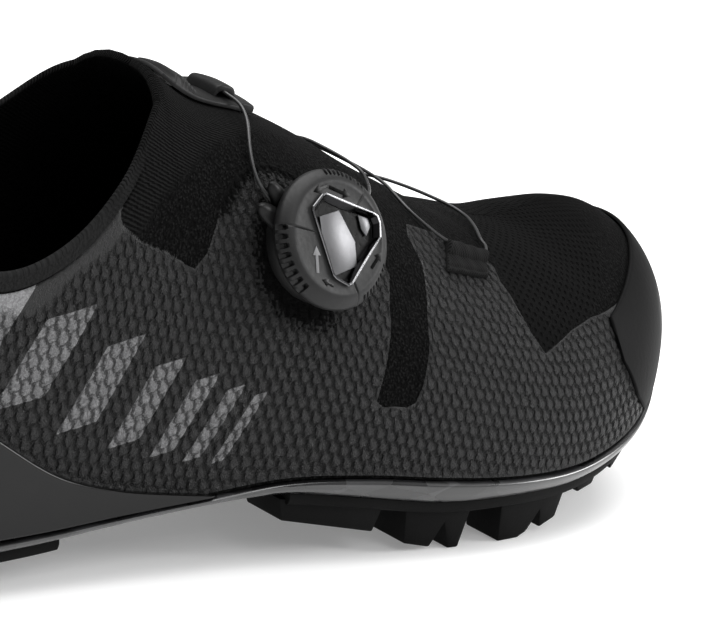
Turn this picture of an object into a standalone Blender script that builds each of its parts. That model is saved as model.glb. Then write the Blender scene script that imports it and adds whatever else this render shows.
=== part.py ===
"""Off-road cycling shoe for the right foot, built piece by piece round one last.

X runs from the heel to the toe, the outside of the foot is at -Y and up is +Z. Sizes are in metres.
"""

import bmesh
import bpy
import numpy as np
from mathutils import Matrix, Vector
from mathutils.bvhtree import BVHTree

# Sizes of the last
LENGTH = 0.280  # heel to toe along the edge of the sole
BALL = 0.098  # width across the ball of the foot
COLLAR = 0.115  # height of the collar's front above the floor
ARCH = 0.0225  # height of the plate's top edge under the arch

# Sizes of the pieces
WALL = 0.0022  # upper
GAP = 0.0003  # between neighbours
FIT = 0.0005  # under a piece that lies on the curved upper
MARGIN = 0.0085  # edge of the upper that is turned in under the foot
PLATE = 0.0056  # thickest part of the carbon plate
LIP = 0.0014  # how far the plate stands out past the upper
FLANGE = 0.0030  # rubber flange that carries the lugs
TREAD = 0.0140  # plate's underside above the floor, at the ball
LUG_WIDTH = 0.0150
LUG_INSET = 0.0030
LUG_DRAFT = 0.12  # how much a lug narrows with its depth
INSOLE = 0.0030
COUNTER = 0.0014
CAP = 0.0008
GUIDE = 0.0018  # strip on the tongue
GUIDE_STEP = 0.0012  # its raised rear end
LOOP_LENGTH = 0.0108  # bridge on the strip, over the lace
LOOP_HEIGHT = 0.0036
LOOP_WALL = 0.0016
WEBBING = 0.0012
WEBBING_FOLD = 0.0024  # folded edge that the lace runs in
LACE = 0.0012  # diameter
DIAL = 0.0330  # diameter of the knob
DIAL_BASE = 0.0290
DIAL_SEAT = 0.0045  # top of the base above the upper
DIAL_WALL = 0.0028  # height of the knob's gripped wall
DIAL_BEVEL = 0.0018
DIAL_FACE = 0.0262
RING_WIDTH = 0.0012
RING_HEIGHT = 0.0010
WINDOW_PLATE = 0.0006
DIAL_TURN = np.radians(3.5)  # the dial's axis, from the outside towards the toe
DIAL_RISE = np.radians(24.5)  # and up
DIAL_AT = (0.503, 0.49)  # the dial's place on the last, station and rise

# The last, a row for each station from the heel to the toe.
# at and crest_at are shares of LENGTH; lateral, medial, crest_y and the leans are shares of BALL;
# edge is a share of ARCH, crest_z of COLLAR and plate of PLATE; walls and shoulders shape the sides.
COLUMNS = ("at", "lateral", "medial", "edge", "plate", "crest_at", "crest_z", "crest_y",
           "wall_l", "wall_m", "lean_l", "lean_m", "shoulder_l", "shoulder_m")
ROWS = (
    (0.00, 0.000, 0.000, 0.62, 0.55, 0.215, 1.360, 0.00, 0.36, 0.36, 0.085, 0.085, 0.76, 0.76),
    (0.05, 0.262, 0.262, 0.60, 0.55, 0.222, 1.360, 0.00, 0.36, 0.36, 0.085, 0.085, 0.76, 0.76),
    (0.11, 0.325, 0.325, 0.58, 0.55, 0.232, 1.360, 0.00, 0.39, 0.39, 0.060, 0.060, 0.80, 0.80),
    (0.18, 0.338, 0.325, 0.575, 0.54, 0.255, 1.340, 0.00, 0.42, 0.42, 0.040, 0.040, 0.84, 0.84),
    (0.25, 0.345, 0.315, 0.625, 0.52, 0.290, 1.260, 0.00, 0.44, 0.44, 0.040, 0.040, 0.84, 0.84),
    (0.32, 0.355, 0.295, 0.72, 0.46, 0.340, 1.110, 0.00, 0.46, 0.46, 0.045, 0.055, 0.80, 0.82),
    (0.40, 0.375, 0.285, 0.835, 0.43, 0.410, 0.972, 0.01, 0.48, 0.48, 0.060, 0.080, 0.74, 0.80),
    (0.48, 0.410, 0.310, 0.965, 0.60, 0.485, 0.905, 0.02, 0.50, 0.50, 0.070, 0.090, 0.68, 0.78),
    (0.56, 0.452, 0.375, 0.955, 0.90, 0.560, 0.814, 0.03, 0.52, 0.55, 0.065, 0.075, 0.64, 0.76),
    (0.64, 0.482, 0.445, 0.865, 1.00, 0.640, 0.713, 0.04, 0.55, 0.60, 0.050, 0.050, 0.62, 0.74),
    (0.72, 0.490, 0.500, 0.800, 0.80, 0.720, 0.635, 0.05, 0.58, 0.62, 0.035, 0.035, 0.62, 0.72),
    (0.80, 0.455, 0.510, 0.800, 0.75, 0.795, 0.596, 0.06, 0.60, 0.64, 0.030, 0.030, 0.64, 0.70),
    (0.88, 0.371, 0.470, 0.960, 0.72, 0.850, 0.580, 0.07, 0.62, 0.64, 0.030, 0.030, 0.66, 0.68),
    (0.95, 0.211, 0.365, 1.200, 0.70, 0.885, 0.575, 0.08, 0.64, 0.64, 0.030, 0.030, 0.68, 0.68),
    (1.00, -0.100, 0.100, 1.380, 0.70, 0.905, 0.572, 0.09, 0.64, 0.64, 0.030, 0.030, 0.70, 0.70),
)
LAST = {name: np.array([row[i] for row in ROWS]) for i, name in enumerate(COLUMNS)}

# Edges on the last: station as a share of LENGTH, then height as a share of COLLAR
RIM = ((0.00, 0.80), (0.06, 0.765), (0.14, 0.685), (0.20, 0.655), (0.26, 0.71), (0.31, 0.82),
       (0.35, 0.95), (0.38, 1.01), (0.42, 1.08))
COUNTER_TOP = ((0.00, 0.52), (0.05, 0.51), (0.11, 0.46), (0.16, 0.395), (0.20, 0.330),
               (0.264, 0.242), (0.324, 0.205), (0.413, 0.196))
# Edges of the toe cap: station, then share of the rise from the sole to the crest
CAP_TOP = ((0.845, 0.43), (0.881, 0.49), (0.901, 0.523), (0.939, 0.578), (0.969, 0.623), (1.00, 0.68))
CAP_FOOT = ((0.845, 0.385), (0.849, 0.276), (0.858, 0.226), (0.875, 0.12), (0.90, 0.03), (1.00, 0.03))

# Lugs on each side of the forefoot and the heel: what their feet show from the side.
# First column a share of LENGTH, second a share of TREAD above the floor.
FOREFOOT_LUGS = (
    ((0.490, 0.74), (0.579, 0.44)),
    ((0.613, 0.17), (0.640, 0.06), (0.651, 0.50), (0.660, 0.00), (0.671, 0.00)),
    ((0.716, 0.00), (0.740, 0.00), (0.750, 0.09), (0.7625, 0.46), (0.767, 0.11), (0.787, 0.24)),
    ((0.815, 0.60), (0.838, 0.66)),
    ((0.872, 0.76), (0.893, 0.95)),
)
HEEL_LUGS = (
    ((0.042, 0.16), (0.055, 0.00), (0.098, 0.00)),
    ((0.125, 0.00), (0.180, 0.00), (0.192, 0.08)),
)
LUG_FLARE = 0.012  # how much longer a lug is at its root, a share of LENGTH
FOREFOOT_SPAN = (0.489, 0.935)
HEEL_SPAN = (0.012, 0.275)

# Loops for the lace: four corners, each a station and a rise. A rise over 1 is on the inside.
WEBBING_CORNERS = {
    "webbing_loop_lateral": ((0.649, 0.558), (0.700, 0.578), (0.716, 0.683), (0.668, 0.678)),
    "webbing_loop_medial_rear": ((0.498, 1.52), (0.546, 1.52), (0.538, 1.40), (0.490, 1.40)),
    "webbing_loop_medial_front": ((0.606, 1.50), (0.655, 1.50), (0.650, 1.39), (0.600, 1.39)),
}
# Stretches of the lace: station, rise and height over the upper as a share of LACE
LACE_RUNS = {
    "lace_dial_to_tongue": ((0.449, 0.602, 1.6), (0.450, 0.663, 0.95), (0.455, 0.739, 0.95),
                            (0.460, 0.800, 2.2), (0.458, 0.850, 2.9), (0.455, 0.905, 2.9)),
    "lace_tongue_to_medial": ((0.453, 1.095, 2.9), (0.456, 1.155, 2.9), (0.462, 1.21, 2.2),
                              (0.470, 1.28, 1.0), (0.482, 1.37, 0.95)),
    "lace_crossing_rear": ((0.546, 1.385, 0.95), (0.548, 1.25, 0.95), (0.552, 1.10, 0.95),
                           (0.566, 1.00, 1.2), (0.595, 0.955, 1.5), (0.625, 0.935, 1.5),
                           (0.641, 0.880, 1.2), (0.645, 0.80, 0.95), (0.650, 0.735, 0.95),
                           (0.660, 0.700, 1.2)),
    "lace_crossing_front": ((0.592, 1.375, 0.95), (0.580, 1.25, 0.95), (0.560, 1.12, 0.95),
                            (0.545, 1.02, 1.1), (0.550, 0.93, 1.3), (0.570, 0.875, 1.4),
                            (0.592, 0.835, 1.2), (0.598, 0.79, 1.0), (0.590, 0.73, 1.3),
                            (0.576, 0.68, 2.2)),
    "lace_toe": ((0.722, 0.706, 1.2), (0.726, 0.78, 0.95), (0.733, 0.87, 1.0), (0.735, 0.95, 1.3),
                 (0.726, 1.04, 1.9), (0.704, 1.12, 1.8), (0.678, 1.22, 1.1), (0.660, 1.345, 0.95)),
}

# Window of the dial: a polygon on its face, forwards and up from the middle, shares of DIAL
WINDOW = ((-0.24, 0.23), (-0.065, 0.312), (0.32, 0.13), (0.335, -0.035), (0.30, -0.115),
          (-0.02, -0.345), (-0.165, -0.27))
WINDOW_PLATES = {
    "dial_plate_rear": ((-0.17, 0.12), (-0.06, 0.20), (0.08, -0.11), (0.00, -0.27), (-0.11, -0.22)),
    "dial_plate_front": ((0.10, 0.185), (0.25, 0.115), (0.265, -0.02), (0.21, -0.06), (0.15, 0.02)),
}

# Grid
REAR_STATIONS = 21  # round the heel to the front of the collar
CROWDING = 1.55  # how much the stations crowd towards the front of the collar
FRONT_STATIONS = 24
ROWS_UP = 12
STEP = 1e-3  # for the slopes of the last

COLOURS = {  # base colour, roughness, metallic
    "carbon": ((0.030, 0.030, 0.032, 1.0), 0.30, 0.2),
    "rubber": ((0.045, 0.045, 0.045, 1.0), 0.70, 0.0),
    "film": ((0.075, 0.075, 0.075, 1.0), 0.55, 0.0),
    "gloss": ((0.035, 0.035, 0.036, 1.0), 0.25, 0.0),
    "foam": ((0.020, 0.020, 0.020, 1.0), 0.90, 0.0),
    "plastic": ((0.080, 0.080, 0.082, 1.0), 0.40, 0.0),
    "webbing": ((0.110, 0.110, 0.110, 1.0), 0.80, 0.0),
    "metal": ((0.550, 0.550, 0.560, 1.0), 0.25, 1.0),
    "wire": ((0.200, 0.200, 0.200, 1.0), 0.35, 0.6),
}


def turn(at):
    """Angle round the sole for a station: stations crowd at the heel and the toe."""
    return np.arccos(1.0 - 2.0 * np.clip(np.asarray(at, float), 0.0, 1.0))


def smooth(knots, values, where):
    """Cubic Hermite curve through the values, with three-point slopes."""
    knots, values = np.asarray(knots, float), np.asarray(values, float)
    step = np.diff(knots)
    rise = np.diff(values) / step
    slope = np.empty(len(knots))
    slope[1:-1] = (rise[:-1] * step[1:] + rise[1:] * step[:-1]) / (step[1:] + step[:-1])
    slope[0] = 1.5 * rise[0] - 0.5 * slope[1]
    slope[-1] = 1.5 * rise[-1] - 0.5 * slope[-2]
    where = np.clip(where, knots[0], knots[-1])
    k = np.clip(np.searchsorted(knots, where, side="right") - 1, 0, len(knots) - 2)
    h = step[k]
    t = (where - knots[k]) / h
    ends = (1 + 2 * t) * (1 - t) ** 2 * values[k] + t * t * (3 - 2 * t) * values[k + 1]
    return ends + h * (t * (1 - t) ** 2 * slope[k] + t * t * (t - 1) * slope[k + 1])


def column(name, theta):
    """A column of the last at an angle. The outline is smoothed over the angle, so that it is round
    at its ends, and the rest over the station."""
    if name in ("lateral", "medial"):
        return smooth(turn(LAST["at"]), LAST[name], theta)
    return smooth(LAST["at"], LAST[name], (1 - np.cos(theta)) / 2)


def edge_height(x):
    """Height of the sole's edge at a length from the heel."""
    return column("edge", turn(x / LENGTH)) * ARCH


def feather(theta, side):
    """The line where the upper meets the sole: side -1 outside, 1 inside."""
    x = LENGTH * (1 - np.cos(theta)) / 2
    y = np.where(side < 0, -column("lateral", theta), column("medial", theta)) * BALL
    return np.stack([x, y, edge_height(x)], -1)


def across(theta, side):
    """Level direction out of one side's outline, of any length."""
    behind = feather(np.clip(theta - STEP, 0, np.pi), side)
    ahead = feather(np.clip(theta + STEP, 0, np.pi), side)
    run = ahead - behind
    return np.stack([run[..., 1], -run[..., 0], 0 * run[..., 0]], -1) * -np.sign(side)[..., None]


def outward(theta, side):
    """Level direction out of the sole's outline. At the heel's and toe's ends both sides share it."""
    out = across(theta, side)
    at_end = (theta < STEP) | (theta > np.pi - STEP)
    out = np.where(at_end[..., None], out + across(theta, -side), out)
    return out / np.linalg.norm(out, axis=-1, keepdims=True)


def crest(theta):
    """The line along the top of the last."""
    return np.stack([column("crest_at", theta) * LENGTH, column("crest_y", theta) * BALL,
                     column("crest_z", theta) * COLLAR], -1)


def meridian(theta, side, rise):
    """Point on the last between the sole, rise 0, and the crest, rise 1."""
    theta, side, rise = np.broadcast_arrays(*(np.asarray(v, float) for v in (theta, side, rise)))

    def shape(name):
        return np.where(side < 0, column(name + "_l", theta), column(name + "_m", theta))[..., None]

    start, end = feather(theta, side), crest(theta)
    climb = (end - start) * (0, 0, 1)
    wall = start + outward(theta, side) * shape("lean") * BALL + climb * shape("wall")
    reach = (start - end) * (1, 1, 0) * shape("shoulder")
    share = (1 - np.cos(theta)) / 2
    run = crest(turn(share + STEP)) - crest(turn(share - STEP))
    fore = np.clip((theta - 2.2) / 0.6, 0, 1)
    dip = run[..., 2] / run[..., 0] * reach[..., 0] * fore
    shoulder = end + reach + dip[..., None] * (0, 0, 1)
    v = rise[..., None]
    u = 1 - v
    return u ** 3 * start + 3 * u * u * v * wall + 3 * u * v * v * shoulder + v ** 3 * end


def skin(p, w):
    """The last's surface. p runs round the sole, from the heel along the outside to the toe at pi
    and back along the inside; w climbs to the crest at 1 and goes down the other side."""
    p, w = np.broadcast_arrays(np.asarray(p, float), np.asarray(w, float))
    p = np.mod(p, 2 * np.pi)
    side = np.where((p <= np.pi) == (w <= 1), -1.0, 1.0)
    theta = np.where(p <= np.pi, p, 2 * np.pi - p)
    return meridian(theta, side, np.where(w <= 1, w, 2 - w))


def normal(p, w):
    w = np.maximum(w, STEP)
    out = np.cross(skin(p + STEP, w) - skin(p - STEP, w), skin(p, w + STEP) - skin(p, w - STEP))
    return out / np.linalg.norm(out, axis=-1, keepdims=True)


def rise_at_height(p, height):
    """The rise at which the last's side reaches a height, by halving."""
    p = np.asarray(p, float)
    low, high = np.zeros_like(p), np.ones_like(p)
    for _ in range(40):
        middle = (low + high) / 2
        under = skin(p, middle)[..., 2] < height(skin(p, middle)[..., 0])
        low, high = np.where(under, middle, low), np.where(under, high, middle)
    return (low + high) / 2


def rim_height(x):
    shares, heights = np.array(RIM).T
    return smooth(shares * LENGTH, heights * COLLAR, x)


def collar_front():
    """Angle of the station where the crest comes out of the collar."""
    low, high = turn(0.25), turn(0.50)
    for _ in range(40):
        middle = (low + high) / 2
        top = crest(np.array(middle))
        if top[2] > rim_height(top[0]):
            low = middle
        else:
            high = middle
    return high


FRONT = collar_front()
STATIONS = np.concatenate([FRONT * (1 - np.linspace(1, 0, REAR_STATIONS + 1) ** CROWDING),
                           np.linspace(FRONT, np.pi, FRONT_STATIONS + 1)[1:]])


def material(name):
    found = bpy.data.materials.get(name)
    if found:
        return found
    colour, roughness, metallic = COLOURS[name]
    made = bpy.data.materials.new(name)
    made.use_nodes = True
    shader = made.node_tree.nodes["Principled BSDF"]
    shader.inputs["Base Color"].default_value = colour
    shader.inputs["Roughness"].default_value = roughness
    shader.inputs["Metallic"].default_value = metallic
    return made


def make(name, bm, finish):
    """Closes a bmesh into a named object with its own material."""
    bmesh.ops.remove_doubles(bm, verts=bm.verts[:], dist=1e-6)
    bmesh.ops.recalc_face_normals(bm, faces=bm.faces[:])
    mesh = bpy.data.meshes.new(name)
    bm.to_mesh(mesh)
    bm.free()
    mesh.shade_smooth()
    mesh.set_sharp_from_angle(angle=np.radians(35))
    mesh.materials.append(material(finish))
    obj = bpy.data.objects.new(name, mesh)
    bpy.context.scene.collection.objects.link(obj)
    return obj


def add_grid(bm, points, wrap=False):
    """Faces over an array of points, rows by columns. Returns its vertices."""
    verts = [[bm.verts.new(p) for p in row] for row in points]
    columns = len(verts[0])
    for i in range(len(verts) - 1):
        for j in range(columns if wrap else columns - 1):
            k = (j + 1) % columns
            bm.faces.new((verts[i][j], verts[i + 1][j], verts[i + 1][k], verts[i][k]))
    return verts


def loft(name, sections, finish, cap_start=True, cap_end=True):
    """A solid through closed sections of the same number of points."""
    bm = bmesh.new()
    verts = add_grid(bm, sections, wrap=True)
    if cap_start:
        bm.faces.new(verts[0])
    if cap_end:
        bm.faces.new(verts[-1])
    return make(name, bm, finish)


def slab(p, w, low, high):
    """Sections of a piece that lies on the last, between two heights over it."""
    base, out = skin(p, w), normal(p, w)
    top = base + out * np.broadcast_to(high, p.shape)[..., None]
    foot = base + out * np.broadcast_to(low, p.shape)[..., None]
    return np.concatenate([top, foot[:, ::-1]], 1)


def join(obj, other):
    """Boolean union of a second object, which stays as a hidden guide."""
    other.hide_render = True
    other.display_type = "WIRE"
    cut = obj.modifiers.new("join", "BOOLEAN")
    cut.operation = "UNION"
    cut.object = other
    cut.solver = "EXACT"


def outline(theta, side, out, up):
    """One side of the sole's outline, pushed out, and up from the edge's height there."""
    s = np.full_like(theta, side)
    line = feather(theta, s) + outward(theta, s) * np.reshape(out, (-1, 1))
    line[:, 2] = edge_height(line[:, 0]) + up
    return line


def deck(name, theta, layers, finish):
    """A flat piece with the sole's outline, from layers of (out, up), top to bottom."""
    lateral = [outline(theta, -1.0, out, up) for out, up in layers]
    medial = [outline(theta, 1.0, out, up) for out, up in reversed(layers)]
    sections = np.stack(lateral + medial, 1)
    return loft(name, sections, finish, cap_start=theta[0] > 0, cap_end=theta[-1] < np.pi)


def make_upper():
    """One hollow wall: sides, toe box, turned-in margin, open at the collar and underneath."""
    bm = bmesh.new()
    rear = STATIONS < FRONT - 1e-9
    for sign in (1, -1):
        p = sign * STATIONS
        top = np.where(rear, rise_at_height(p, rim_height), 1.0)
        w = np.linspace(0, 1, ROWS_UP + 1)[None, :] * top[:, None]
        sides = skin(p[:, None] + 0 * w, w)
        turned_in = outline(STATIONS, -float(sign), -MARGIN, 0.0)
        add_grid(bm, np.concatenate([turned_in[:, None], sides], 1))
    upper = make("upper", bm, "film")
    wall = upper.modifiers.new("wall", "SOLIDIFY")
    wall.thickness = WALL
    wall.offset = -1.0
    wall.use_even_offset = True
    return upper


def plate_under(theta):
    """Depth of the plate's underside below the sole's edge."""
    return -GAP - column("plate", theta) * PLATE


def make_plate():
    under = plate_under(STATIONS)
    layers = ((LIP * 0.4, -GAP), (LIP, -GAP - 0.2 * PLATE * column("plate", STATIONS)),
              (LIP * 0.8, 0.6 * under - 0.4 * GAP), (-LIP, under))
    return deck("outsole_plate", STATIONS, layers, "carbon")


def make_insole():
    floor = WALL + GAP
    inset = -(WALL + 2 * GAP)
    return deck("insole", STATIONS, ((inset, floor + INSOLE), (inset, floor)), "foam")


def lug(bm, foot, side):
    """One lug: its side view, drawn between an outer and an inner face."""
    root = [(foot[0][0] - LUG_FLARE * 0.5, None)] + list(foot) + [(foot[-1][0] + LUG_FLARE * 0.5, None)]
    outer, inner = [], []
    for share, height in root:
        theta = turn(share)
        edge = feather(theta, np.array(side))
        seat = edge[2] + plate_under(theta) - GAP - FLANGE / 2
        z = seat if height is None else height * TREAD
        draft = LUG_DRAFT * (seat - z)
        out = edge[1] - side * (LUG_INSET + draft)
        outer.append((edge[0], out, z))
        inner.append((edge[0], out - side * (LUG_WIDTH - 2 * draft), z))
    verts = add_grid(bm, [outer, inner], wrap=True)
    bm.faces.new(verts[0])
    bm.faces.new(verts[1])


def make_tread(name, span, lugs, stations):
    theta = np.linspace(turn(span[0]), turn(span[1]), stations)
    under = plate_under(theta) - GAP
    inset = -(LIP + GAP)
    tread = deck(name, theta, ((inset, under), (inset - 0.2 * FLANGE, under - FLANGE)), "rubber")
    bm = bmesh.new()
    for foot in lugs:
        for side in (-1.0, 1.0):
            lug(bm, foot, side)
    join(tread, make(name + "_lugs", bm, "rubber"))
    return tread


def make_counter():
    """Glossy cup round the heel with a tip along the arch on each side."""
    end = turn(COUNTER_TOP[-1][0])
    p = np.unique(np.concatenate([-end * np.ones(1), STATIONS[STATIONS < end], -STATIONS[STATIONS < end],
                                  end * np.ones(1)]))
    shares, heights = np.array(COUNTER_TOP).T
    top = smooth(turn(shares), heights * COLLAR, np.abs(p))
    rise = rise_at_height(p, lambda x: top)
    w = np.linspace(0.0, 1.0, 5)[None, :] * rise[:, None]
    w = np.maximum(w, 0.004)
    return loft("heel_counter", slab(p[:, None] + 0 * w, w, FIT, FIT + COUNTER), "gloss")


def make_cap():
    """Moulded film over the toe, from one side round to the other."""
    start = turn(CAP_TOP[0][0])
    ahead = STATIONS[STATIONS > start]
    half = np.concatenate([[start], ahead])
    p = np.concatenate([half, 2 * np.pi - half[-2::-1]])
    theta = np.where(p <= np.pi, p, 2 * np.pi - p)
    edge = []
    for table in (CAP_FOOT, CAP_TOP):
        shares, rises = np.array(table).T
        edge.append(np.interp((1 - np.cos(theta)) / 2, shares, rises))
    share = np.linspace(0, 1, 8)[None, :]
    w = edge[0][:, None] * (1 - share) + edge[1][:, None] * share
    return loft("toe_cap", slab(p[:, None] + 0 * w, w, FIT, FIT + CAP), "film")


def make_guide():
    """Strip on the tongue's ridge with a raised rear end and a bridge for the lace."""
    start = turn(0.004 + (1 - np.cos(FRONT)) / 2)
    end = turn(0.484)
    at = np.array([0, 0.13, 0.15, 0.35, 0.50, 0.65, 0.80, 0.92, 1.0])
    p = start + (end - start) * at
    step = np.where(at < 0.14, GUIDE_STEP, 0.0)
    half = np.array([0.15, 0.165, 0.165, 0.165, 0.160, 0.155, 0.15, 0.14, 0.11])
    share = np.linspace(-1, 1, 9)[None, :]
    w = 1 + half[:, None] * share
    high = np.broadcast_to((FIT + GUIDE + step)[:, None], w.shape)
    guide = loft("tongue_guide", slab(p[:, None] + 0 * w, w, FIT, high), "plastic")

    middle = turn(0.455)
    run = LENGTH * np.sin(middle) / 2  # metres of length for each radian of station
    root = FIT + GUIDE / 2
    top = FIT + GUIDE + LOOP_HEIGHT
    reach = LOOP_LENGTH / 2
    inside = reach - LOOP_WALL
    side_view = [(-reach, root), (-reach, top - 0.6 * LOOP_HEIGHT), (-0.55 * reach, top - 0.12 * LOOP_HEIGHT),
                 (0.0, top), (0.55 * reach, top - 0.12 * LOOP_HEIGHT), (reach, top - 0.6 * LOOP_HEIGHT),
                 (reach, root), (inside, root), (inside, top - LOOP_WALL - 0.5 * LOOP_HEIGHT),
                 (0.5 * inside, top - 1.1 * LOOP_WALL), (-0.5 * inside, top - 1.1 * LOOP_WALL),
                 (-inside, top - LOOP_WALL - 0.5 * LOOP_HEIGHT), (-inside, root)]
    sections = []
    for w in np.linspace(0.925, 1.075, 5):
        station = np.array([middle + x / run for x, _ in side_view])
        lift = np.array([h for _, h in side_view])[:, None]
        rise = np.full(len(side_view), w)
        sections.append(skin(station, rise) + normal(station, rise) * lift)
    join(guide, loft("tongue_guide_bridge", sections, "plastic"))
    return guide


def make_webbing(name, corners):
    """A folded strip of webbing: flat where it is sewn down, thick at the fold."""
    a = np.linspace(0, 1, 6)[:, None]
    b = np.linspace(0, 1, 7)[None, :]
    (c0, c1, c2, c3) = np.array(corners)
    grid = [(c0[k] * (1 - a) + c1[k] * a) * (1 - b) + (c3[k] * (1 - a) + c2[k] * a) * b for k in (0, 1)]
    p, w = turn(grid[0]), grid[1]
    fold = np.clip((b - 0.55) / 0.45, 0, 1)
    high = FIT + WEBBING + (WEBBING_FOLD - WEBBING) * np.sin(np.pi * fold) ** 0.7 + 0 * a
    return loft(name, slab(p, w, FIT, high), "webbing")


def tube(name, centre, radius, finish, sides=6):
    """A round bar along a line of points."""
    along = np.gradient(centre, axis=0)
    along /= np.linalg.norm(along, axis=1, keepdims=True)
    up = np.array((0.0, 0.0, 1.0))
    sections = []
    for point, direction in zip(centre, along):
        up = up - direction * (up @ direction)
        up /= np.linalg.norm(up)
        other = np.cross(direction, up)
        turns = 2 * np.pi * np.arange(sides) / sides
        sections.append(point + radius * (np.cos(turns)[:, None] * up + np.sin(turns)[:, None] * other))
    return loft(name, sections, finish)


def lace_line(rows, points):
    """The middle of one stretch of lace, evenly spaced along a smooth curve over the upper."""
    stations, rises, heights = np.array(rows).T
    knots = np.arange(len(rows), dtype=float)
    t = np.linspace(0, knots[-1], points)
    p = turn(smooth(knots, stations, t))
    w = smooth(knots, rises, t)
    return skin(p, w) + normal(p, w) * (smooth(knots, heights, t) * LACE)[:, None]


def make_laces():
    runs = {name: tube(name, lace_line(rows, 3 * len(rows)), LACE / 2, "wire")
            for name, rows in LACE_RUNS.items()}
    join(runs["lace_crossing_rear"], runs["lace_crossing_front"])
    runs["lace_crossing_rear"].name = "lace_crossing"


def dial_frame():
    """The dial's place: its axis is the frame's Z, its X points to the toe."""
    axis = Vector((np.cos(DIAL_RISE) * np.sin(DIAL_TURN), -np.cos(DIAL_RISE) * np.cos(DIAL_TURN),
                   np.sin(DIAL_RISE)))
    forward = Vector((0, 0, 1)).cross(axis).normalized()
    upward = axis.cross(forward)
    place = Matrix((forward, upward, axis)).transposed().to_4x4()
    place.translation = Vector(skin(turn(DIAL_AT[0]), DIAL_AT[1]))
    return place


def turned(name, profile, finish, segments, place):
    """A closed turned piece from a profile of (radius, height), from axis to axis."""
    bm = bmesh.new()
    verts = [bm.verts.new((r, 0, z)) for r, z in profile]
    edges = [bm.edges.new(pair) for pair in zip(verts[:-1], verts[1:])]
    bmesh.ops.spin(bm, geom=verts + edges, cent=(0, 0, 0), axis=(0, 0, 1), angle=2 * np.pi,
                   steps=segments, use_merge=True)
    obj = make(name, bm, finish)
    obj.matrix_world = place
    return obj


def prism(name, outline, low, high, finish, place, hole=None):
    """A flat piece with a polygon outline, with an inner polygon left out if given."""
    bm = bmesh.new()
    if hole is None:
        verts = add_grid(bm, [[(x, y, z) for x, y in outline] for z in (low, high)], wrap=True)
        bm.faces.new(verts[0])
        bm.faces.new(verts[1])
    else:
        rings = [(outline, low), (outline, high), (hole, high), (hole, low), (outline, low)]
        add_grid(bm, [[(x, y, z) for x, y in line] for line, z in rings], wrap=True)
    obj = make(name, bm, finish)
    obj.matrix_world = place
    return obj


def rounded(polygon, size, cut=0.18):
    """The polygon's corners, each cut to two points."""
    points = np.array(polygon) * size
    result = []
    for k, point in enumerate(points):
        for other in (points[k - 1], points[(k + 1) % len(points)]):
            result.append(point + (other - point) * cut)
    return result


def make_dial(upper):
    place = dial_frame()
    outer = BVHTree.FromObject(upper, bpy.context.evaluated_depsgraph_get())
    axis = place.to_3x3() @ Vector((0, 0, 1))

    def seat(radius, angle):
        """Height of the upper under a point of the dial, in the dial's own frame."""
        start = place @ Vector((radius * np.cos(angle), radius * np.sin(angle), DIAL))
        hit = outer.ray_cast(start, -axis, 2 * DIAL)[0]
        return (place.inverted() @ hit)[2] + FIT

    segments = 32
    angles = 2 * np.pi * np.arange(segments) / segments
    radii = DIAL_BASE / 2 * np.array([0.3, 0.65, 1.0])
    foot = [[(r * np.cos(a), r * np.sin(a), seat(r, a)) for a in angles] for r in radii]
    top = [[(r * np.cos(a), r * np.sin(a), DIAL_SEAT) for a in angles] for r in radii[::-1]]
    bm = bmesh.new()
    verts = add_grid(bm, foot + top, wrap=True)
    bm.faces.new(verts[0])
    bm.faces.new(verts[-1])
    base = make("dial_base", bm, "plastic")
    base.matrix_world = place

    bm = bmesh.new()
    for direction in (np.radians(130), np.radians(22)):
        for half in (-1, 1):
            add_fin(bm, direction, half, seat)
    fins = make("dial_base_ports", bm, "plastic")
    fins.matrix_world = place
    join(base, fins)

    low = DIAL_SEAT + GAP
    edge, face = DIAL / 2, DIAL_FACE / 2
    heights = low + DIAL_WALL, low + DIAL_WALL + DIAL_BEVEL
    turned("dial_knob", ((0, low), (0.92 * edge, low), (0.98 * edge, low + 0.25 * DIAL_WALL),
                         (edge, low + 0.6 * DIAL_WALL), (0.985 * edge, heights[0]),
                         (face, heights[1]), (0, heights[1])), "plastic", 48, place)
    window = rounded(WINDOW, DIAL)
    shrink = 1 - RING_WIDTH / (0.31 * DIAL)
    hole = [point * shrink for point in window]
    seat_height = heights[1] + GAP
    prism("dial_ring", window, seat_height, seat_height + RING_HEIGHT, "metal", place, hole)
    for name, outline in WINDOW_PLATES.items():
        prism(name, rounded(outline, 0.92 * DIAL, 0.1), seat_height, seat_height + WINDOW_PLATE, "metal", place)


def add_fin(bm, direction, half, seat):
    """One ear beside the hole where the lace enters the dial's base."""
    inner, outer, width = 0.36 * DIAL, 0.56 * DIAL, 0.045 * DIAL
    aside = half * 0.085 * DIAL
    along = np.array((np.cos(direction), np.sin(direction)))
    beside = np.array((-along[1], along[0]))
    loops = []
    for distance, height, thick in ((inner, DIAL_SEAT - GAP, width), (0.75 * outer, DIAL_SEAT - GAP, width),
                                    (outer, None, 0.4 * width)):
        loop = []
        for shift in (-thick, thick):
            x, y = along * distance + beside * (aside + shift)
            floor = seat(np.hypot(x, y), np.arctan2(y, x))
            low = floor + 0.2 * GAP
            high = max(low + 0.0012, height if height is not None else low + 0.0016)
            loop.append(((x, y, low), (x, y, high)))
        (a_low, a_high), (b_low, b_high) = loop
        loops.append((a_low, b_low, b_high, a_high))
    verts = add_grid(bm, loops, wrap=True)
    bm.faces.new(verts[0])
    bm.faces.new(verts[-1])


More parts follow.
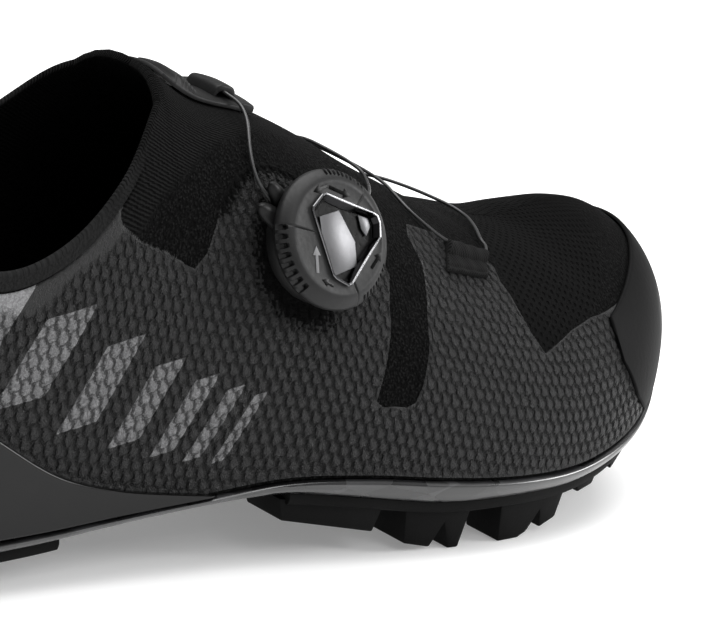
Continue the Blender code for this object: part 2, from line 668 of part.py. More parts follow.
def centre_on_floor():
    """Moves the shoe so that its box is centred over the origin and its sole is at the floor."""
    graph = bpy.context.evaluated_depsgraph_get()
    corners = []
    for obj in bpy.data.objects:
        if obj.type == "MESH" and not obj.hide_render:
            evaluated = obj.evaluated_get(graph)
            mesh = evaluated.to_mesh()
            points = np.empty(3 * len(mesh.vertices))
            mesh.vertices.foreach_get("co", points)
            world = np.array(obj.matrix_world)
            corners.append(points.reshape(-1, 3) @ world[:3, :3].T + world[:3, 3])
            evaluated.to_mesh_clear()
    points = np.concatenate(corners)
    low, high = points.min(0), points.max(0)
    shift = Vector(((low[0] + high[0]) / 2, (low[1] + high[1]) / 2, low[2]))
    for obj in bpy.data.objects:
        obj.matrix_world = Matrix.Translation(-shift) @ obj.matrix_world


def main():
    for obj in list(bpy.data.objects):
        bpy.data.objects.remove(obj)
    upper = make_upper()
    bpy.context.view_layer.update()
    make_plate()
    make_insole()
    make_tread("forefoot_tread", FOREFOOT_SPAN, FOREFOOT_LUGS, 20)
    make_tread("heel_tread", HEEL_SPAN, HEEL_LUGS, 12)
    make_counter()
    make_cap()
    make_guide()
    for name, corners in WEBBING_CORNERS.items():
        make_webbing(name, corners)
    make_laces()
    make_dial(upper)
    bpy.context.view_layer.update()
    centre_on_floor()


main()
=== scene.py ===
"""Dresses the cycling shoe: knitted upper, embossed film, sole, dial, lace, floor, light and camera."""

import logging
from collections.abc import Callable
from dataclasses import dataclass, field
from enum import Enum

import bmesh
import bpy
import numpy as np
from mathutils import Matrix, Vector


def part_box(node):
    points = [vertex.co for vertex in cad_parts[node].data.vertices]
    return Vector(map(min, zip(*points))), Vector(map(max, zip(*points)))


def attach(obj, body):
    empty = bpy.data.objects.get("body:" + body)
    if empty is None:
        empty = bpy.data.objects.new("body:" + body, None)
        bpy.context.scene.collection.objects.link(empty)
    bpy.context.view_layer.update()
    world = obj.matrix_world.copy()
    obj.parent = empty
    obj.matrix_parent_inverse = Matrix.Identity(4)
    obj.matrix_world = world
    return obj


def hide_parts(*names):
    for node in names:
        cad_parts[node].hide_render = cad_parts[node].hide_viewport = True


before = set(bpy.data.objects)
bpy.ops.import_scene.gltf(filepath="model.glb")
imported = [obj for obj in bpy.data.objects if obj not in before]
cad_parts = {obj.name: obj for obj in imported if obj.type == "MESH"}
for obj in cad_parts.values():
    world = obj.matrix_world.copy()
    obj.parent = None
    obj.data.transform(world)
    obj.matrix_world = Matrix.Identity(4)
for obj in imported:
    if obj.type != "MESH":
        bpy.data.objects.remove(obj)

Array = np.ndarray
Places = Callable[[Array, Array], tuple[Array, Array]]
Socket = bpy.types.NodeSocket
Mesh = bpy.types.Mesh
Triple = tuple[float, float, float]

LOG = logging.getLogger("cycling_shoe")
MM = 0.001
MERGE = 1e-6  # vertices nearer than this many metres become one
CHART_STATIONS = 180  # parts of the last's chart round the sole
CHART_ROWS = 40  # and up it
CHART_MIDDLE = 14  # the row that lengths along the side are measured on
DIAL_AT = (0.503, 0.49)  # the dial's place on the last, station and rise

COLUMNS = ("at", "lateral", "medial", "edge", "plate", "crest_at", "crest_z", "crest_y",
           "wall_l", "wall_m", "lean_l", "lean_m", "shoulder_l", "shoulder_m")
ROWS = (
    (0.00, 0.000, 0.000, 0.62, 0.55, 0.215, 1.360, 0.00, 0.36, 0.36, 0.085, 0.085, 0.76, 0.76),
    (0.05, 0.262, 0.262, 0.60, 0.55, 0.222, 1.360, 0.00, 0.36, 0.36, 0.085, 0.085, 0.76, 0.76),
    (0.11, 0.325, 0.325, 0.58, 0.55, 0.232, 1.360, 0.00, 0.39, 0.39, 0.060, 0.060, 0.80, 0.80),
    (0.18, 0.338, 0.325, 0.575, 0.54, 0.255, 1.340, 0.00, 0.42, 0.42, 0.040, 0.040, 0.84, 0.84),
    (0.25, 0.345, 0.315, 0.625, 0.52, 0.290, 1.260, 0.00, 0.44, 0.44, 0.040, 0.040, 0.84, 0.84),
    (0.32, 0.355, 0.295, 0.72, 0.46, 0.340, 1.110, 0.00, 0.46, 0.46, 0.045, 0.055, 0.80, 0.82),
    (0.40, 0.375, 0.285, 0.835, 0.43, 0.410, 0.972, 0.01, 0.48, 0.48, 0.060, 0.080, 0.74, 0.80),
    (0.48, 0.410, 0.310, 0.965, 0.60, 0.485, 0.905, 0.02, 0.50, 0.50, 0.070, 0.090, 0.68, 0.78),
    (0.56, 0.452, 0.375, 0.955, 0.90, 0.560, 0.814, 0.03, 0.52, 0.55, 0.065, 0.075, 0.64, 0.76),
    (0.64, 0.482, 0.445, 0.865, 1.00, 0.640, 0.713, 0.04, 0.55, 0.60, 0.050, 0.050, 0.62, 0.74),
    (0.72, 0.490, 0.500, 0.800, 0.80, 0.720, 0.635, 0.05, 0.58, 0.62, 0.035, 0.035, 0.62, 0.72),
    (0.80, 0.455, 0.510, 0.800, 0.75, 0.795, 0.596, 0.06, 0.60, 0.64, 0.030, 0.030, 0.64, 0.70),
    (0.88, 0.371, 0.470, 0.975, 0.72, 0.850, 0.580, 0.07, 0.62, 0.64, 0.030, 0.030, 0.66, 0.68),
    (0.95, 0.211, 0.365, 1.270, 0.70, 0.885, 0.575, 0.08, 0.64, 0.64, 0.030, 0.030, 0.68, 0.68),
    (1.00, -0.100, 0.100, 1.490, 0.70, 0.905, 0.572, 0.09, 0.64, 0.64, 0.030, 0.030, 0.70, 0.70),
)
RIM = ((0.00, 0.80), (0.06, 0.765), (0.14, 0.685), (0.20, 0.655), (0.26, 0.71), (0.31, 0.815),
       (0.35, 0.925), (0.38, 0.978), (0.42, 1.045))
# How far the knit's ridge lies below the solid's, in millimetres at stations
RIDGE_DROP = ((0.00, 3.5), (0.36, 3.5), (0.44, 3.1), (0.50, 1.7), (0.55, 0.7), (0.60, 0.2), (0.66, 0.0),
              (0.74, 1.1), (0.80, 1.4), (0.84, 0.8), (0.88, -1.0), (0.93, -2.8), (1.00, -3.2))
# How much higher the rim stands on the inside, in millimetres at stations
RIM_LIFT = ((0.00, 0.0), (0.12, 2.4), (0.20, 4.2), (0.27, 4.4), (0.31, 3.5), (0.34, 1.8), (0.37, 0.0), (1.00, 0.0))
COUNTER_TOP = ((0.00, 0.52), (0.05, 0.51), (0.11, 0.46), (0.16, 0.395), (0.20, 0.330),
               (0.264, 0.240), (0.324, 0.200), (0.370, 0.184), (0.413, 0.173))
CAP_TOP = ((0.845, 0.43), (0.881, 0.49), (0.901, 0.523), (0.939, 0.578), (0.969, 0.623), (1.00, 0.68))
CAP_FOOT = ((0.845, 0.385), (0.849, 0.276), (0.858, 0.226), (0.875, 0.12), (0.90, 0.03), (1.00, 0.03))

# Outlines of the embossed film on each side, and of the ribbed knit, as station and rise
FILM_OUTSIDE = (
    (-0.05, -0.10), (-0.05, 1.30), (0.285, 1.30), (0.295, 0.470), (0.300, 0.432), (0.322, 0.418),
    (0.346, 0.418), (0.376, 0.404), (0.390, 0.445), (0.400, 0.500), (0.411, 0.570), (0.428, 0.625),
    (0.446, 0.662), (0.470, 0.676), (0.500, 0.668), (0.530, 0.645), (0.558, 0.605), (0.572, 0.550),
    (0.576, 0.477), (0.570, 0.402), (0.568, 0.337), (0.562, 0.256), (0.553, 0.172), (0.560, 0.160),
    (0.585, 0.165), (0.594, 0.180), (0.601, 0.221), (0.610, 0.317), (0.613, 0.397), (0.624, 0.558),
    (0.621, 0.643), (0.628, 0.690), (0.664, 0.705), (0.712, 0.700), (0.722, 0.640), (0.718, 0.580),
    (0.722, 0.540), (0.725, 0.487), (0.733, 0.412), (0.746, 0.347), (0.788, 0.417), (0.820, 0.447),
    (0.845, 0.452), (0.870, 0.462), (1.060, 0.470), (1.060, -0.10),
)
RIBS = ((0.285, 1.30), (0.285, 0.42), (0.300, 0.38), (0.321, 0.437), (0.346, 0.518), (0.371, 0.583),
        (0.399, 0.663), (0.427, 0.724), (0.461, 0.769), (0.507, 0.824), (0.553, 0.869), (0.600, 0.930),
        (0.640, 1.050), (0.640, 1.300))
FILM_INSIDE = (
    (-0.05, -0.10), (-0.05, 1.30), (0.285, 1.30), (0.295, 0.470), (0.300, 0.432), (0.346, 0.405),
    (0.400, 0.500), (0.440, 0.610), (0.500, 0.660), (0.556, 0.610), (0.575, 0.470), (0.566, 0.300),
    (0.556, 0.172), (0.563, 0.160), (0.598, 0.165), (0.606, 0.190), (0.618, 0.350), (0.626, 0.550),
    (0.640, 0.660), (0.700, 0.620), (0.735, 0.500), (0.755, 0.360), (0.800, 0.420), (0.845, 0.470),
    (0.870, 0.510), (1.060, 0.800), (1.060, -0.10),
)
# Outline of the knit with open holes over the toes
TOE_MESH = (
    (0.735, 1.200), (0.728, 0.800), (0.732, 0.660), (0.724, 0.580), (0.727, 0.487), (0.735, 0.412),
    (0.747, 0.355), (0.788, 0.427), (0.820, 0.460), (0.838, 0.500), (0.862, 0.560), (0.880, 0.620),
    (0.900, 0.700), (0.930, 0.800), (0.960, 0.900), (0.985, 1.010), (0.990, 1.200),
)
# Silver dashes on the outside of the heel: middle station, middle rise, width in millimetres
DASHES = ((0.170, 0.268, 15.0), (0.235, 0.233, 12.5), (0.291, 0.202, 10.0), (0.337, 0.177, 8.0),
          (0.374, 0.156, 6.0), (0.403, 0.139, 4.5), (0.427, 0.125, 3.2))


def smooth(knots: Array, values: Array, where: Array) -> Array:
    """Cubic Hermite curve through the values, with three-point slopes.

    Args:
        knots: rising places of the values.
        values: what the curve passes through.
        where: places to read.

    Returns:
        The curve's value at each place.
    """
    knots, values = np.asarray(knots, float), np.asarray(values, float)
    step = np.diff(knots)
    rise = np.diff(values) / step
    slope = np.empty(len(knots))
    slope[1:-1] = (rise[:-1] * step[1:] + rise[1:] * step[:-1]) / (step[1:] + step[:-1])
    slope[0] = 1.5 * rise[0] - 0.5 * slope[1]
    slope[-1] = 1.5 * rise[-1] - 0.5 * slope[-2]
    where = np.clip(where, knots[0], knots[-1])
    k = np.clip(np.searchsorted(knots, where, side="right") - 1, 0, len(knots) - 2)
    h = step[k]
    t = (where - knots[k]) / h
    ends = (1 + 2 * t) * (1 - t) ** 2 * values[k] + t * t * (3 - 2 * t) * values[k + 1]
    return ends + h * (t * (1 - t) ** 2 * slope[k] + t * t * (t - 1) * slope[k + 1])


def ease(low: float, high: float, value: Array) -> Array:
    """Smooth step from 0 at low to 1 at high."""
    t = np.clip((value - low) / (high - low), 0.0, 1.0)
    return t * t * (3.0 - 2.0 * t)


def unit(vectors: Array) -> Array:
    """The vectors at length 1."""
    return vectors / np.linalg.norm(vectors, axis=-1, keepdims=True)


def station(theta: Array) -> Array:
    """Station of an angle round the sole: 0 at the heel, 1 at the toe."""
    return (1 - np.cos(theta)) / 2


def signed_distance(points: Array, polygon: Array) -> Array:
    """Distance of flat points to a polygon's outline, above zero inside it.

    Args:
        points: an array of (n, 2).
        polygon: the corners, in order.

    Returns:
        The n distances.
    """
    best = np.full(len(points), np.inf)
    inside = np.zeros(len(points), bool)
    for start, end in zip(polygon, np.roll(polygon, -1, axis=0)):
        run = end - start
        from_start = points - start
        share = np.clip(from_start @ run / (run @ run), 0.0, 1.0)
        best = np.minimum(best, np.hypot(*(from_start - share[:, None] * run).T))
        spans = (start[1] > points[:, 1]) != (end[1] > points[:, 1])
        if run[1] != 0.0:
            inside ^= spans & (points[:, 0] < start[0] + run[0] * (points[:, 1] - start[1]) / run[1])
    return np.where(inside, best, -best)


@dataclass
class Last:
    """The form that the whole shoe is built round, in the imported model's frame."""

    length: float = 0.280
    ball: float = 0.098
    collar: float = 0.115
    arch: float = 0.0225
    wall: float = 0.0022
    lip: float = 0.0014
    gap: float = 0.0003
    fit: float = 0.0005
    plate: float = 0.0056
    margin: float = 0.0085
    step: float = 1e-3
    shift: Array = field(default_factory=lambda: np.zeros(3))

    def __post_init__(self) -> None:
        """Reads the table, and finds the last's place from the carbon plate's box."""
        self.table = {name: np.array([row[i] for row in ROWS]) for i, name in enumerate(COLUMNS)}
        theta = np.linspace(0, np.pi, 400)
        low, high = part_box("outsole_plate")
        lateral, medial = self.column("lateral", theta).max(), self.column("medial", theta).max()
        middle = (low[1] + high[1]) / 2 - (medial - lateral) / 2 * self.ball
        self.shift = np.array((low[0] + self.lip, middle, 0.0))
        self.front = self.collar_front()
        self.measure()

    def turn(self, at: Array) -> Array:
        """Angle round the sole for a station."""
        return np.arccos(1.0 - 2.0 * np.clip(np.asarray(at, float), 0.0, 1.0))

    def column(self, name: str, theta: Array) -> Array:
        """A column of the table at an angle.

        Args:
            name: the column.
            theta: angles round the sole.

        Returns:
            The column's values.
        """
        if name in ("lateral", "medial"):
            return smooth(self.turn(self.table["at"]), self.table[name], theta)
        return smooth(self.table["at"], self.table[name], station(theta))

    def edge_height(self, x: Array) -> Array:
        """Height of the sole's edge at a length from the heel."""
        return self.column("edge", self.turn(x / self.length)) * self.arch

    def feather(self, theta: Array, side: Array) -> Array:
        """The line where the upper meets the sole: side -1 outside, 1 inside.

        Args:
            theta: angles round the sole.
            side: -1 outside, 1 inside.

        Returns:
            Points, measured from the heel.
        """
        x = self.length * station(theta)
        y = np.where(side < 0, -self.column("lateral", theta), self.column("medial", theta)) * self.ball
        return np.stack([x, y, self.edge_height(x)], -1)

    def across(self, theta: Array, side: Array) -> Array:
        """Level direction out of one side's outline, of any length.

        Args:
            theta: angles round the sole.
            side: -1 outside, 1 inside.

        Returns:
            The directions.
        """
        behind = self.feather(np.clip(theta - self.step, 0, np.pi), side)
        ahead = self.feather(np.clip(theta + self.step, 0, np.pi), side)
        run = ahead - behind
        return np.stack([run[..., 1], -run[..., 0], 0 * run[..., 0]], -1) * -np.sign(side)[..., None]

    def outward(self, theta: Array, side: Array) -> Array:
        """Level direction out of the sole's outline. At both ends the sides share it.

        Args:
            theta: angles round the sole.
            side: -1 outside, 1 inside.

        Returns:
            Directions of length 1.
        """
        out = self.across(theta, side)
        at_end = (theta < self.step) | (theta > np.pi - self.step)
        out = np.where(at_end[..., None], out + self.across(theta, -side), out)
        return unit(out)

    def crest(self, theta: Array) -> Array:
        """The line along the top of the last."""
        return np.stack([self.column("crest_at", theta) * self.length,
                         self.column("crest_y", theta) * self.ball,
                         self.column("crest_z", theta) * self.collar], -1)

    def meridian(self, theta: Array, side: Array, rise: Array) -> Array:
        """Point on the last between the sole, rise 0, and the crest, rise 1.

        Args:
            theta: angles round the sole.
            side: -1 outside, 1 inside.
            rise: shares of the way up.

        Returns:
            Points, measured from the heel.
        """
        theta, side, rise = np.broadcast_arrays(*(np.asarray(v, float) for v in (theta, side, rise)))

        def shape(name: str) -> Array:
            """A shape column of the point's own side."""
            return np.where(side < 0, self.column(name + "_l", theta), self.column(name + "_m", theta))[..., None]

        start, end = self.feather(theta, side), self.crest(theta)
        climb = (end - start) * (0, 0, 1)
        wall = start + self.outward(theta, side) * shape("lean") * self.ball + climb * shape("wall")
        reach = (start - end) * (1, 1, 0) * shape("shoulder")
        share = station(theta)
        run = self.crest(self.turn(share + self.step)) - self.crest(self.turn(share - self.step))
        fore = np.clip((theta - 2.2) / 0.6, 0, 1)
        dip = run[..., 2] / run[..., 0] * reach[..., 0] * fore
        shoulder = end + reach + dip[..., None] * (0, 0, 1)
        v = rise[..., None]
        u = 1 - v
        stations, drops = np.array(RIDGE_DROP).T
        drop = smooth(stations, drops, share) * MM * ease(0.70 - 0.4 * ease(0.78, 0.86, share), 1.0, rise)
        surface = u ** 3 * start + 3 * u * u * v * wall + 3 * u * v * v * shoulder + v ** 3 * end
        return surface - drop[..., None] * (0, 0, 1)

    def skin(self, p: Array, w: Array) -> Array:
        """The last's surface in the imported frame.

        Args:
            p: runs round the sole from the heel along the outside to the toe at pi, and back inside.
            w: climbs to the crest at 1, and down the other side.

        Returns:
            The points.
        """
        p, w = np.broadcast_arrays(np.asarray(p, float), np.asarray(w, float))
        p = np.mod(p, 2 * np.pi)
        side = np.where((p <= np.pi) == (w <= 1), -1.0, 1.0)
        theta = np.where(p <= np.pi, p, 2 * np.pi - p)
        return self.meridian(theta, side, np.where(w <= 1, w, 2 - w)) + self.shift

    def normal(self, p: Array, w: Array) -> Array:
        """Direction out of the last's surface.

        Args:
            p: places round the sole.
            w: the rise, more than 1 beyond the crest.

        Returns:
            Directions of length 1.
        """
        w = np.maximum(w, self.step)
        along = self.skin(p + self.step, w) - self.skin(p - self.step, w)
        upward = self.skin(p, w + self.step) - self.skin(p, w - self.step)
        return unit(np.cross(along, upward))

    def over(self, p: Array, w: Array, height: Array | float) -> Array:
        """Points at a height over the last's surface."""
        height = np.broadcast_to(np.asarray(height, float), np.broadcast(p, w).shape)
        return self.skin(p, w) + self.normal(p, w) * height[..., None]

    def rise_at_height(self, p: Array, height: Callable[[Array], Array]) -> Array:
        """The rise at which the last's side reaches a height, by halving.

        Args:
            p: places round the sole.
            height: gives the height for a length from the heel.

        Returns:
            The rises.
        """
        p = np.asarray(p, float)
        low, high = np.zeros_like(p), np.ones_like(p)
        for _ in range(40):
            middle = (low + high) / 2
            point = self.skin(p, middle) - self.shift
            under = point[..., 2] < height(point[..., 0])
            low, high = np.where(under, middle, low), np.where(under, high, middle)
        return (low + high) / 2

    def rim_height(self, x: Array) -> Array:
        """Height of the collar's rim at a length from the heel."""
        shares, heights = np.array(RIM).T
        return smooth(shares * self.length, heights * self.collar, x)

    def collar_front(self) -> float:
        """Angle of the station where the crest comes out of the collar.

        Returns:
            The angle.
        """
        low, high = self.turn(0.25), self.turn(0.50)
        for _ in range(40):
            middle = (low + high) / 2
            top = self.meridian(np.array(middle), np.array(-1.0), np.array(1.0))
            low, high = (middle, high) if top[2] > self.rim_height(top[0]) else (low, middle)
        return float(high)

    def measure(self) -> None:
        """Lengths along the surface, for patterns and outlines drawn in millimetres."""
        self.chart_theta = np.linspace(0, np.pi, CHART_STATIONS + 1)
        rises = np.linspace(0, 1, CHART_ROWS + 1)
        self.chart_up, self.chart_along = {}, {}
        for sign in (1, -1):
            points = self.skin(sign * self.chart_theta[:, None], rises[None, :])
            up = np.linalg.norm(np.diff(points, axis=1), axis=-1) / MM
            self.chart_up[sign] = np.concatenate([np.zeros((len(up), 1)), np.cumsum(up, 1)], 1)
            middle = points[:, CHART_MIDDLE]
            along = np.linalg.norm(np.diff(middle, axis=0), axis=-1) / MM
            self.chart_along[sign] = np.concatenate([[0.0], np.cumsum(along)])

    def chart(self, sign: int, theta: Array, rise: Array) -> Array:
        """Millimetres along the side and up it.

        Args:
            sign: 1 outside, -1 inside.
            theta: angles round the sole.
            rise: shares of the way to the crest; more than 1 goes on past it.

        Returns:
            Points of (along, up).
        """
        theta, rise = np.broadcast_arrays(np.asarray(theta, float), np.asarray(rise, float))
        row = np.clip(theta / np.pi * CHART_STATIONS, 0, CHART_STATIONS - 0.001)
        column = np.clip(rise, 0, 0.99999) * CHART_ROWS
        i, j = row.astype(int), column.astype(int)
        a, b = row - i, column - j
        up = self.chart_up[sign]
        height = ((1 - a) * (1 - b) * up[i, j] + (1 - a) * b * up[i, j + 1]
                  + a * (1 - b) * up[i + 1, j] + a * b * up[i + 1, j + 1])
        beyond = np.where(rise > 1, rise - 1, np.minimum(rise, 0)) * up[i, CHART_ROWS]
        along = np.interp(theta, self.chart_theta, self.chart_along[sign])
        return np.stack([along, height + beyond], -1)

    def spot(self, sign: int, at: float, rise: float) -> Array:
        """A place's point in the chart."""
        return self.chart(sign, self.turn(np.array([at])), np.array([rise]))[0]

    def theta_along(self, sign: int, along: Array) -> Array:
        """Angle round the sole for millimetres along the side."""
        return np.interp(along, self.chart_along[sign], self.chart_theta)

    def outline_in_chart(self, sign: int, outline: tuple, parts: int = 4) -> Array:
        """A closed outline of stations and rises, in the chart's millimetres.

        Args:
            sign: 1 outside, -1 inside.
            outline: its corners.
            parts: parts of each side.

        Returns:
            Points of (along, up).
        """
        corners = np.array(outline)
        following = np.roll(corners, -1, axis=0)
        shares = np.arange(parts)[None, :, None] / parts
        points = (corners[:, None] * (1 - shares) + following[:, None] * shares).reshape(-1, 2)
        result = self.chart(sign, self.turn(points[:, 0]), points[:, 1])
        result[:, 0] += np.where(points[:, 0] < 0, points[:, 0], np.maximum(points[:, 0] - 1, 0)) * self.length / MM
        return result

    def outline(self, theta: Array, side: float, out: Array | float, up: Array | float) -> Array:
        """One side of the sole's outline, pushed out, and up from the edge's height there.

        Args:
            theta: angles round the sole.
            side: -1 outside, 1 inside.
            out: how far out, in metres.
            up: how far up.

        Returns:
            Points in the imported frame.
        """
        s = np.full_like(theta, side)
        line = self.feather(theta, s) + self.outward(theta, s) * np.reshape(out, (-1, 1))
        line[:, 2] = self.edge_height(line[:, 0]) + up
        return line + self.shift

    def plate_under(self, theta: Array) -> Array:
        """Depth of the plate's underside below the sole's edge."""
        return -self.gap - self.column("plate", theta) * self.plate


class Nodes:
    """Builds one procedural material by joining shader nodes."""

    def __init__(self, name: str, colour: Triple, roughness: float,
                 metallic: float = 0.0) -> None:
        """Starts a material with a Principled shader.

        Args:
            name: the material's name.
            colour: base colour, linear.
            roughness: of the base layer.
            metallic: 1 for bare metal.
        """
        self.material = bpy.data.materials.new(name)
        self.material.use_nodes = True
        self.tree = self.material.node_tree
        self.shader = self.tree.nodes["Principled BSDF"]
        self.set(**{"Base Color": (*colour, 1.0), "Roughness": roughness, "Metallic": metallic})
        self.material.diffuse_color = (*colour, 1.0)

    def set(self, **values: float | tuple) -> None:
        """Sets constants on the shader's own sockets."""
        for name, value in values.items():
            self.shader.inputs[name].default_value = value

    def link(self, source: Socket | float | tuple, target: Socket) -> None:
        """Joins a socket, or writes a constant.

        Args:
            source: a socket or a value.
            target: the socket it goes to.
        """
        if isinstance(source, Socket):
            self.tree.links.new(source, target)
        else:
            target.default_value = source

    def made(self, kind: str, inputs: dict, **settings: object) -> bpy.types.Node:
        """A new node with its settings and inputs.

        Args:
            kind: the node's type.
            inputs: sockets or constants, by the input's name or number.
            settings: its properties.

        Returns:
            The node.
        """
        node = self.tree.nodes.new(kind)
        for name, value in settings.items():
            setattr(node, name, value)
        for name, value in inputs.items():
            self.link(value, node.inputs[name])
        return node

    def math(self, operation: str, *values: object) -> Socket:
        """A Math node's result."""
        return self.made("ShaderNodeMath", dict(enumerate(values)), operation=operation).outputs[0]

    def place(self) -> Socket:
        """Object coordinates."""
        return self.made("ShaderNodeTexCoord", {}).outputs["Object"]

    def attribute(self, name: str) -> tuple[Socket, ...]:
        """The three numbers of a vector that is stored on the mesh."""
        stored = self.made("ShaderNodeAttribute", {}, attribute_name=name).outputs["Vector"]
        return tuple(self.made("ShaderNodeSeparateXYZ", {0: stored}).outputs)

    def vector(self, x: object, y: object, z: object = 0.0) -> Socket:
        """Three numbers joined to a vector."""
        return self.made("ShaderNodeCombineXYZ", {0: x, 1: y, 2: z}).outputs[0]

    def scaled(self, vector: Socket, scale: Triple, turn: Triple = (0.0, 0.0, 0.0)) -> Socket:
        """A pattern's coordinates, scaled and turned by a Mapping node."""
        return self.made("ShaderNodeMapping", {"Vector": vector, "Scale": scale, "Rotation": turn}).outputs[0]

    def noise(self, vector: Socket, scale: float, detail: float = 2.0, distortion: float = 0.0) -> Socket:
        """Cloudy noise."""
        inputs = {"Vector": vector, "Scale": scale, "Detail": detail, "Distortion": distortion}
        return self.made("ShaderNodeTexNoise", inputs).outputs[0]

    def cells(self, vector: Socket, scale: float, feature: str = "F1", output: str = "Distance") -> Socket:
        """Voronoi cells."""
        return self.made("ShaderNodeTexVoronoi", {"Vector": vector, "Scale": scale}, feature=feature).outputs[output]

    def steps(self, value: Socket, low: float, high: float, out_low: float = 0.0, out_high: float = 1.0) -> Socket:
        """A smooth step between two values."""
        inputs = {"Value": value, "From Min": low, "From Max": high, "To Min": out_low, "To Max": out_high}
        return self.made("ShaderNodeMapRange", inputs, interpolation_type="SMOOTHSTEP").outputs[0]

    def blend(self, share: object, first: object, second: object) -> Socket:
        """A colour between two."""
        colours = ((*c, 1.0) if isinstance(c, tuple) else c for c in (first, second))
        return self.made("ShaderNodeMix", dict(zip((0, 6, 7), (share, *colours))), data_type="RGBA").outputs[2]

    def bump(self, height: Socket, depth: float) -> Socket:
        """Relief of a depth in metres."""
        return self.made("ShaderNodeBump", {"Height": height, "Strength": 1.0, "Distance": depth}).outputs[0]

    def finish(self, normal: Socket | None = None, colour: Socket | None = None,
               roughness: Socket | None = None) -> bpy.types.Material:
        """Joins what varies to the shader.

        Args:
            normal: relief.
            colour: base colour.
            roughness: of the base layer.

        Returns:
            The material.
        """
        for name, socket in (("Normal", normal), ("Base Color", colour), ("Roughness", roughness)):
            if socket is not None:
                self.link(socket, self.shader.inputs[name])
        return self.material


@dataclass(frozen=True)
class Finish:
    """A surface: its name, the record's slot, and its plain colour and roughness."""

    name: str
    slot: str
    colour: Triple
    roughness: float
    specular: float = 0.35

    def make(self) -> bpy.types.Material:
        """The material, made once."""
        found = bpy.data.materials.get(self.name)
        return found if found else self.build()

    def build(self) -> bpy.types.Material:
        """A plain surface with a little unevenness.

        Returns:
            The material.
        """
        n = Nodes(self.name, self.colour, self.roughness)
        n.set(**{"Specular IOR Level": self.specular})
        grain = n.noise(n.place(), 900.0, 3.0)
        return n.finish(normal=n.bump(grain, 0.00004), roughness=n.steps(grain, 0.2, 0.8, self.roughness - 0.05,
                                                                         self.roughness + 0.06))


@dataclass(frozen=True)
class Scales:
    """The lattice of pressed scales: each has a broad body and a narrow neck that points up."""

    wide: float = 2.72
    tall: float = 3.78
    turning: float = 0.0017  # how fast the lean grows towards the toe
    middle: float = 105.0
    lean: float = np.radians(18.0)
    foot: float = -1.52
    body: float = 1.50
    neck: float = 0.88
    bottom: float = -1.56
    top: float = 2.36
    soft: tuple[float, float] = (0.62, 0.34)

    def relief(self, chart: Array) -> Array:
        """From 0 in a crease to 1 on a scale, for points in millimetres.

        Args:
            chart: points of (along, up).

        Returns:
            The relief.
        """
        wander = 0.30 * np.sin(chart[:, 0] * 0.11) + 0.22 * np.sin(chart[:, 1] * 0.17 + 1.0)
        ahead = chart[:, 0] - self.middle
        column = chart[:, 0] * np.cos(self.lean) + chart[:, 1] * (np.sin(self.lean) + self.turning * ahead) + wander
        up = chart[:, 1] * np.cos(self.lean) - chart[:, 0] * np.sin(self.lean) - self.turning / 2 * ahead ** 2
        best = np.zeros(len(chart))
        for shift in (0.0, 0.5):
            x = np.abs(np.mod(column + 2 * shift * self.wide + self.wide, 2 * self.wide) - self.wide)
            y = np.mod(up + shift * self.tall - self.foot, self.tall) + self.foot
            half = self.body + (self.neck - self.body) * ease(0.1, 1.5, y)
            inside = np.minimum((half - x) / self.soft[0], (y - self.bottom - 0.16 * x * x) / self.soft[1])
            best = np.maximum(best, np.clip(np.minimum(inside, (self.top - y) / self.soft[1]), 0, 1))
        return best * best * (3 - 2 * best)

    def nodes(self, n: Nodes, x: Socket, y: Socket) -> Socket:
        """The same relief as shader nodes, with a little disorder.

        Args:
            n: the material's nodes.
            x: millimetres along the side.
            y: millimetres up it.

        Returns:
            The result's socket.
        """
        flat = n.vector(x, y)
        stray = n.math("MULTIPLY", n.math("SUBTRACT", n.noise(flat, 0.7, 2.0), 0.5), 0.9)
        stray = n.math("MULTIPLY_ADD", n.math("SUBTRACT", n.noise(flat, 1.9, 2.0), 0.5), 1.5, stray)
        wander = n.math("ADD", n.math("MULTIPLY", n.math("SINE", n.math("MULTIPLY", x, 0.11)), 0.30),
                        n.math("MULTIPLY", n.math("SINE", n.math("MULTIPLY_ADD", y, 0.17, 1.0)), 0.22))
        cos, sin = float(np.cos(self.lean)), float(np.sin(self.lean))
        ahead = n.math("SUBTRACT", x, self.middle)
        slant = n.math("MULTIPLY", y, n.math("MULTIPLY_ADD", ahead, self.turning, sin))
        column = n.math("ADD", n.math("ADD", n.math("MULTIPLY", x, cos), slant), n.math("ADD", wander, stray))
        sag = n.math("MULTIPLY", n.math("MULTIPLY", ahead, ahead), -self.turning / 2)
        up = n.math("ADD", n.math("SUBTRACT", n.math("MULTIPLY", y, cos), n.math("MULTIPLY", x, sin)),
                    n.math("ADD", stray, sag))
        best = None
        for shift in (0.0, 0.5):
            a = n.math("WRAP", n.math("ADD", column, 2 * shift * self.wide), self.wide, -self.wide)
            a = n.math("ABSOLUTE", a)
            b = n.math("WRAP", n.math("ADD", up, shift * self.tall), self.foot + self.tall, self.foot)
            half = n.steps(b, 0.1, 1.5, self.body, self.neck)
            side = n.math("DIVIDE", n.math("SUBTRACT", half, a), self.soft[0])
            bowl = n.math("MULTIPLY", n.math("MULTIPLY", a, a), 0.16)
            under = n.math("DIVIDE", n.math("SUBTRACT", n.math("SUBTRACT", b, self.bottom), bowl), self.soft[1])
            over = n.math("DIVIDE", n.math("SUBTRACT", self.top, b), self.soft[1])
            inside = n.math("MINIMUM", n.math("MINIMUM", side, under), over)
            best = inside if best is None else n.math("MAXIMUM", best, inside)
        return n.steps(best, 0.0, 1.0)


SCALES = Scales()


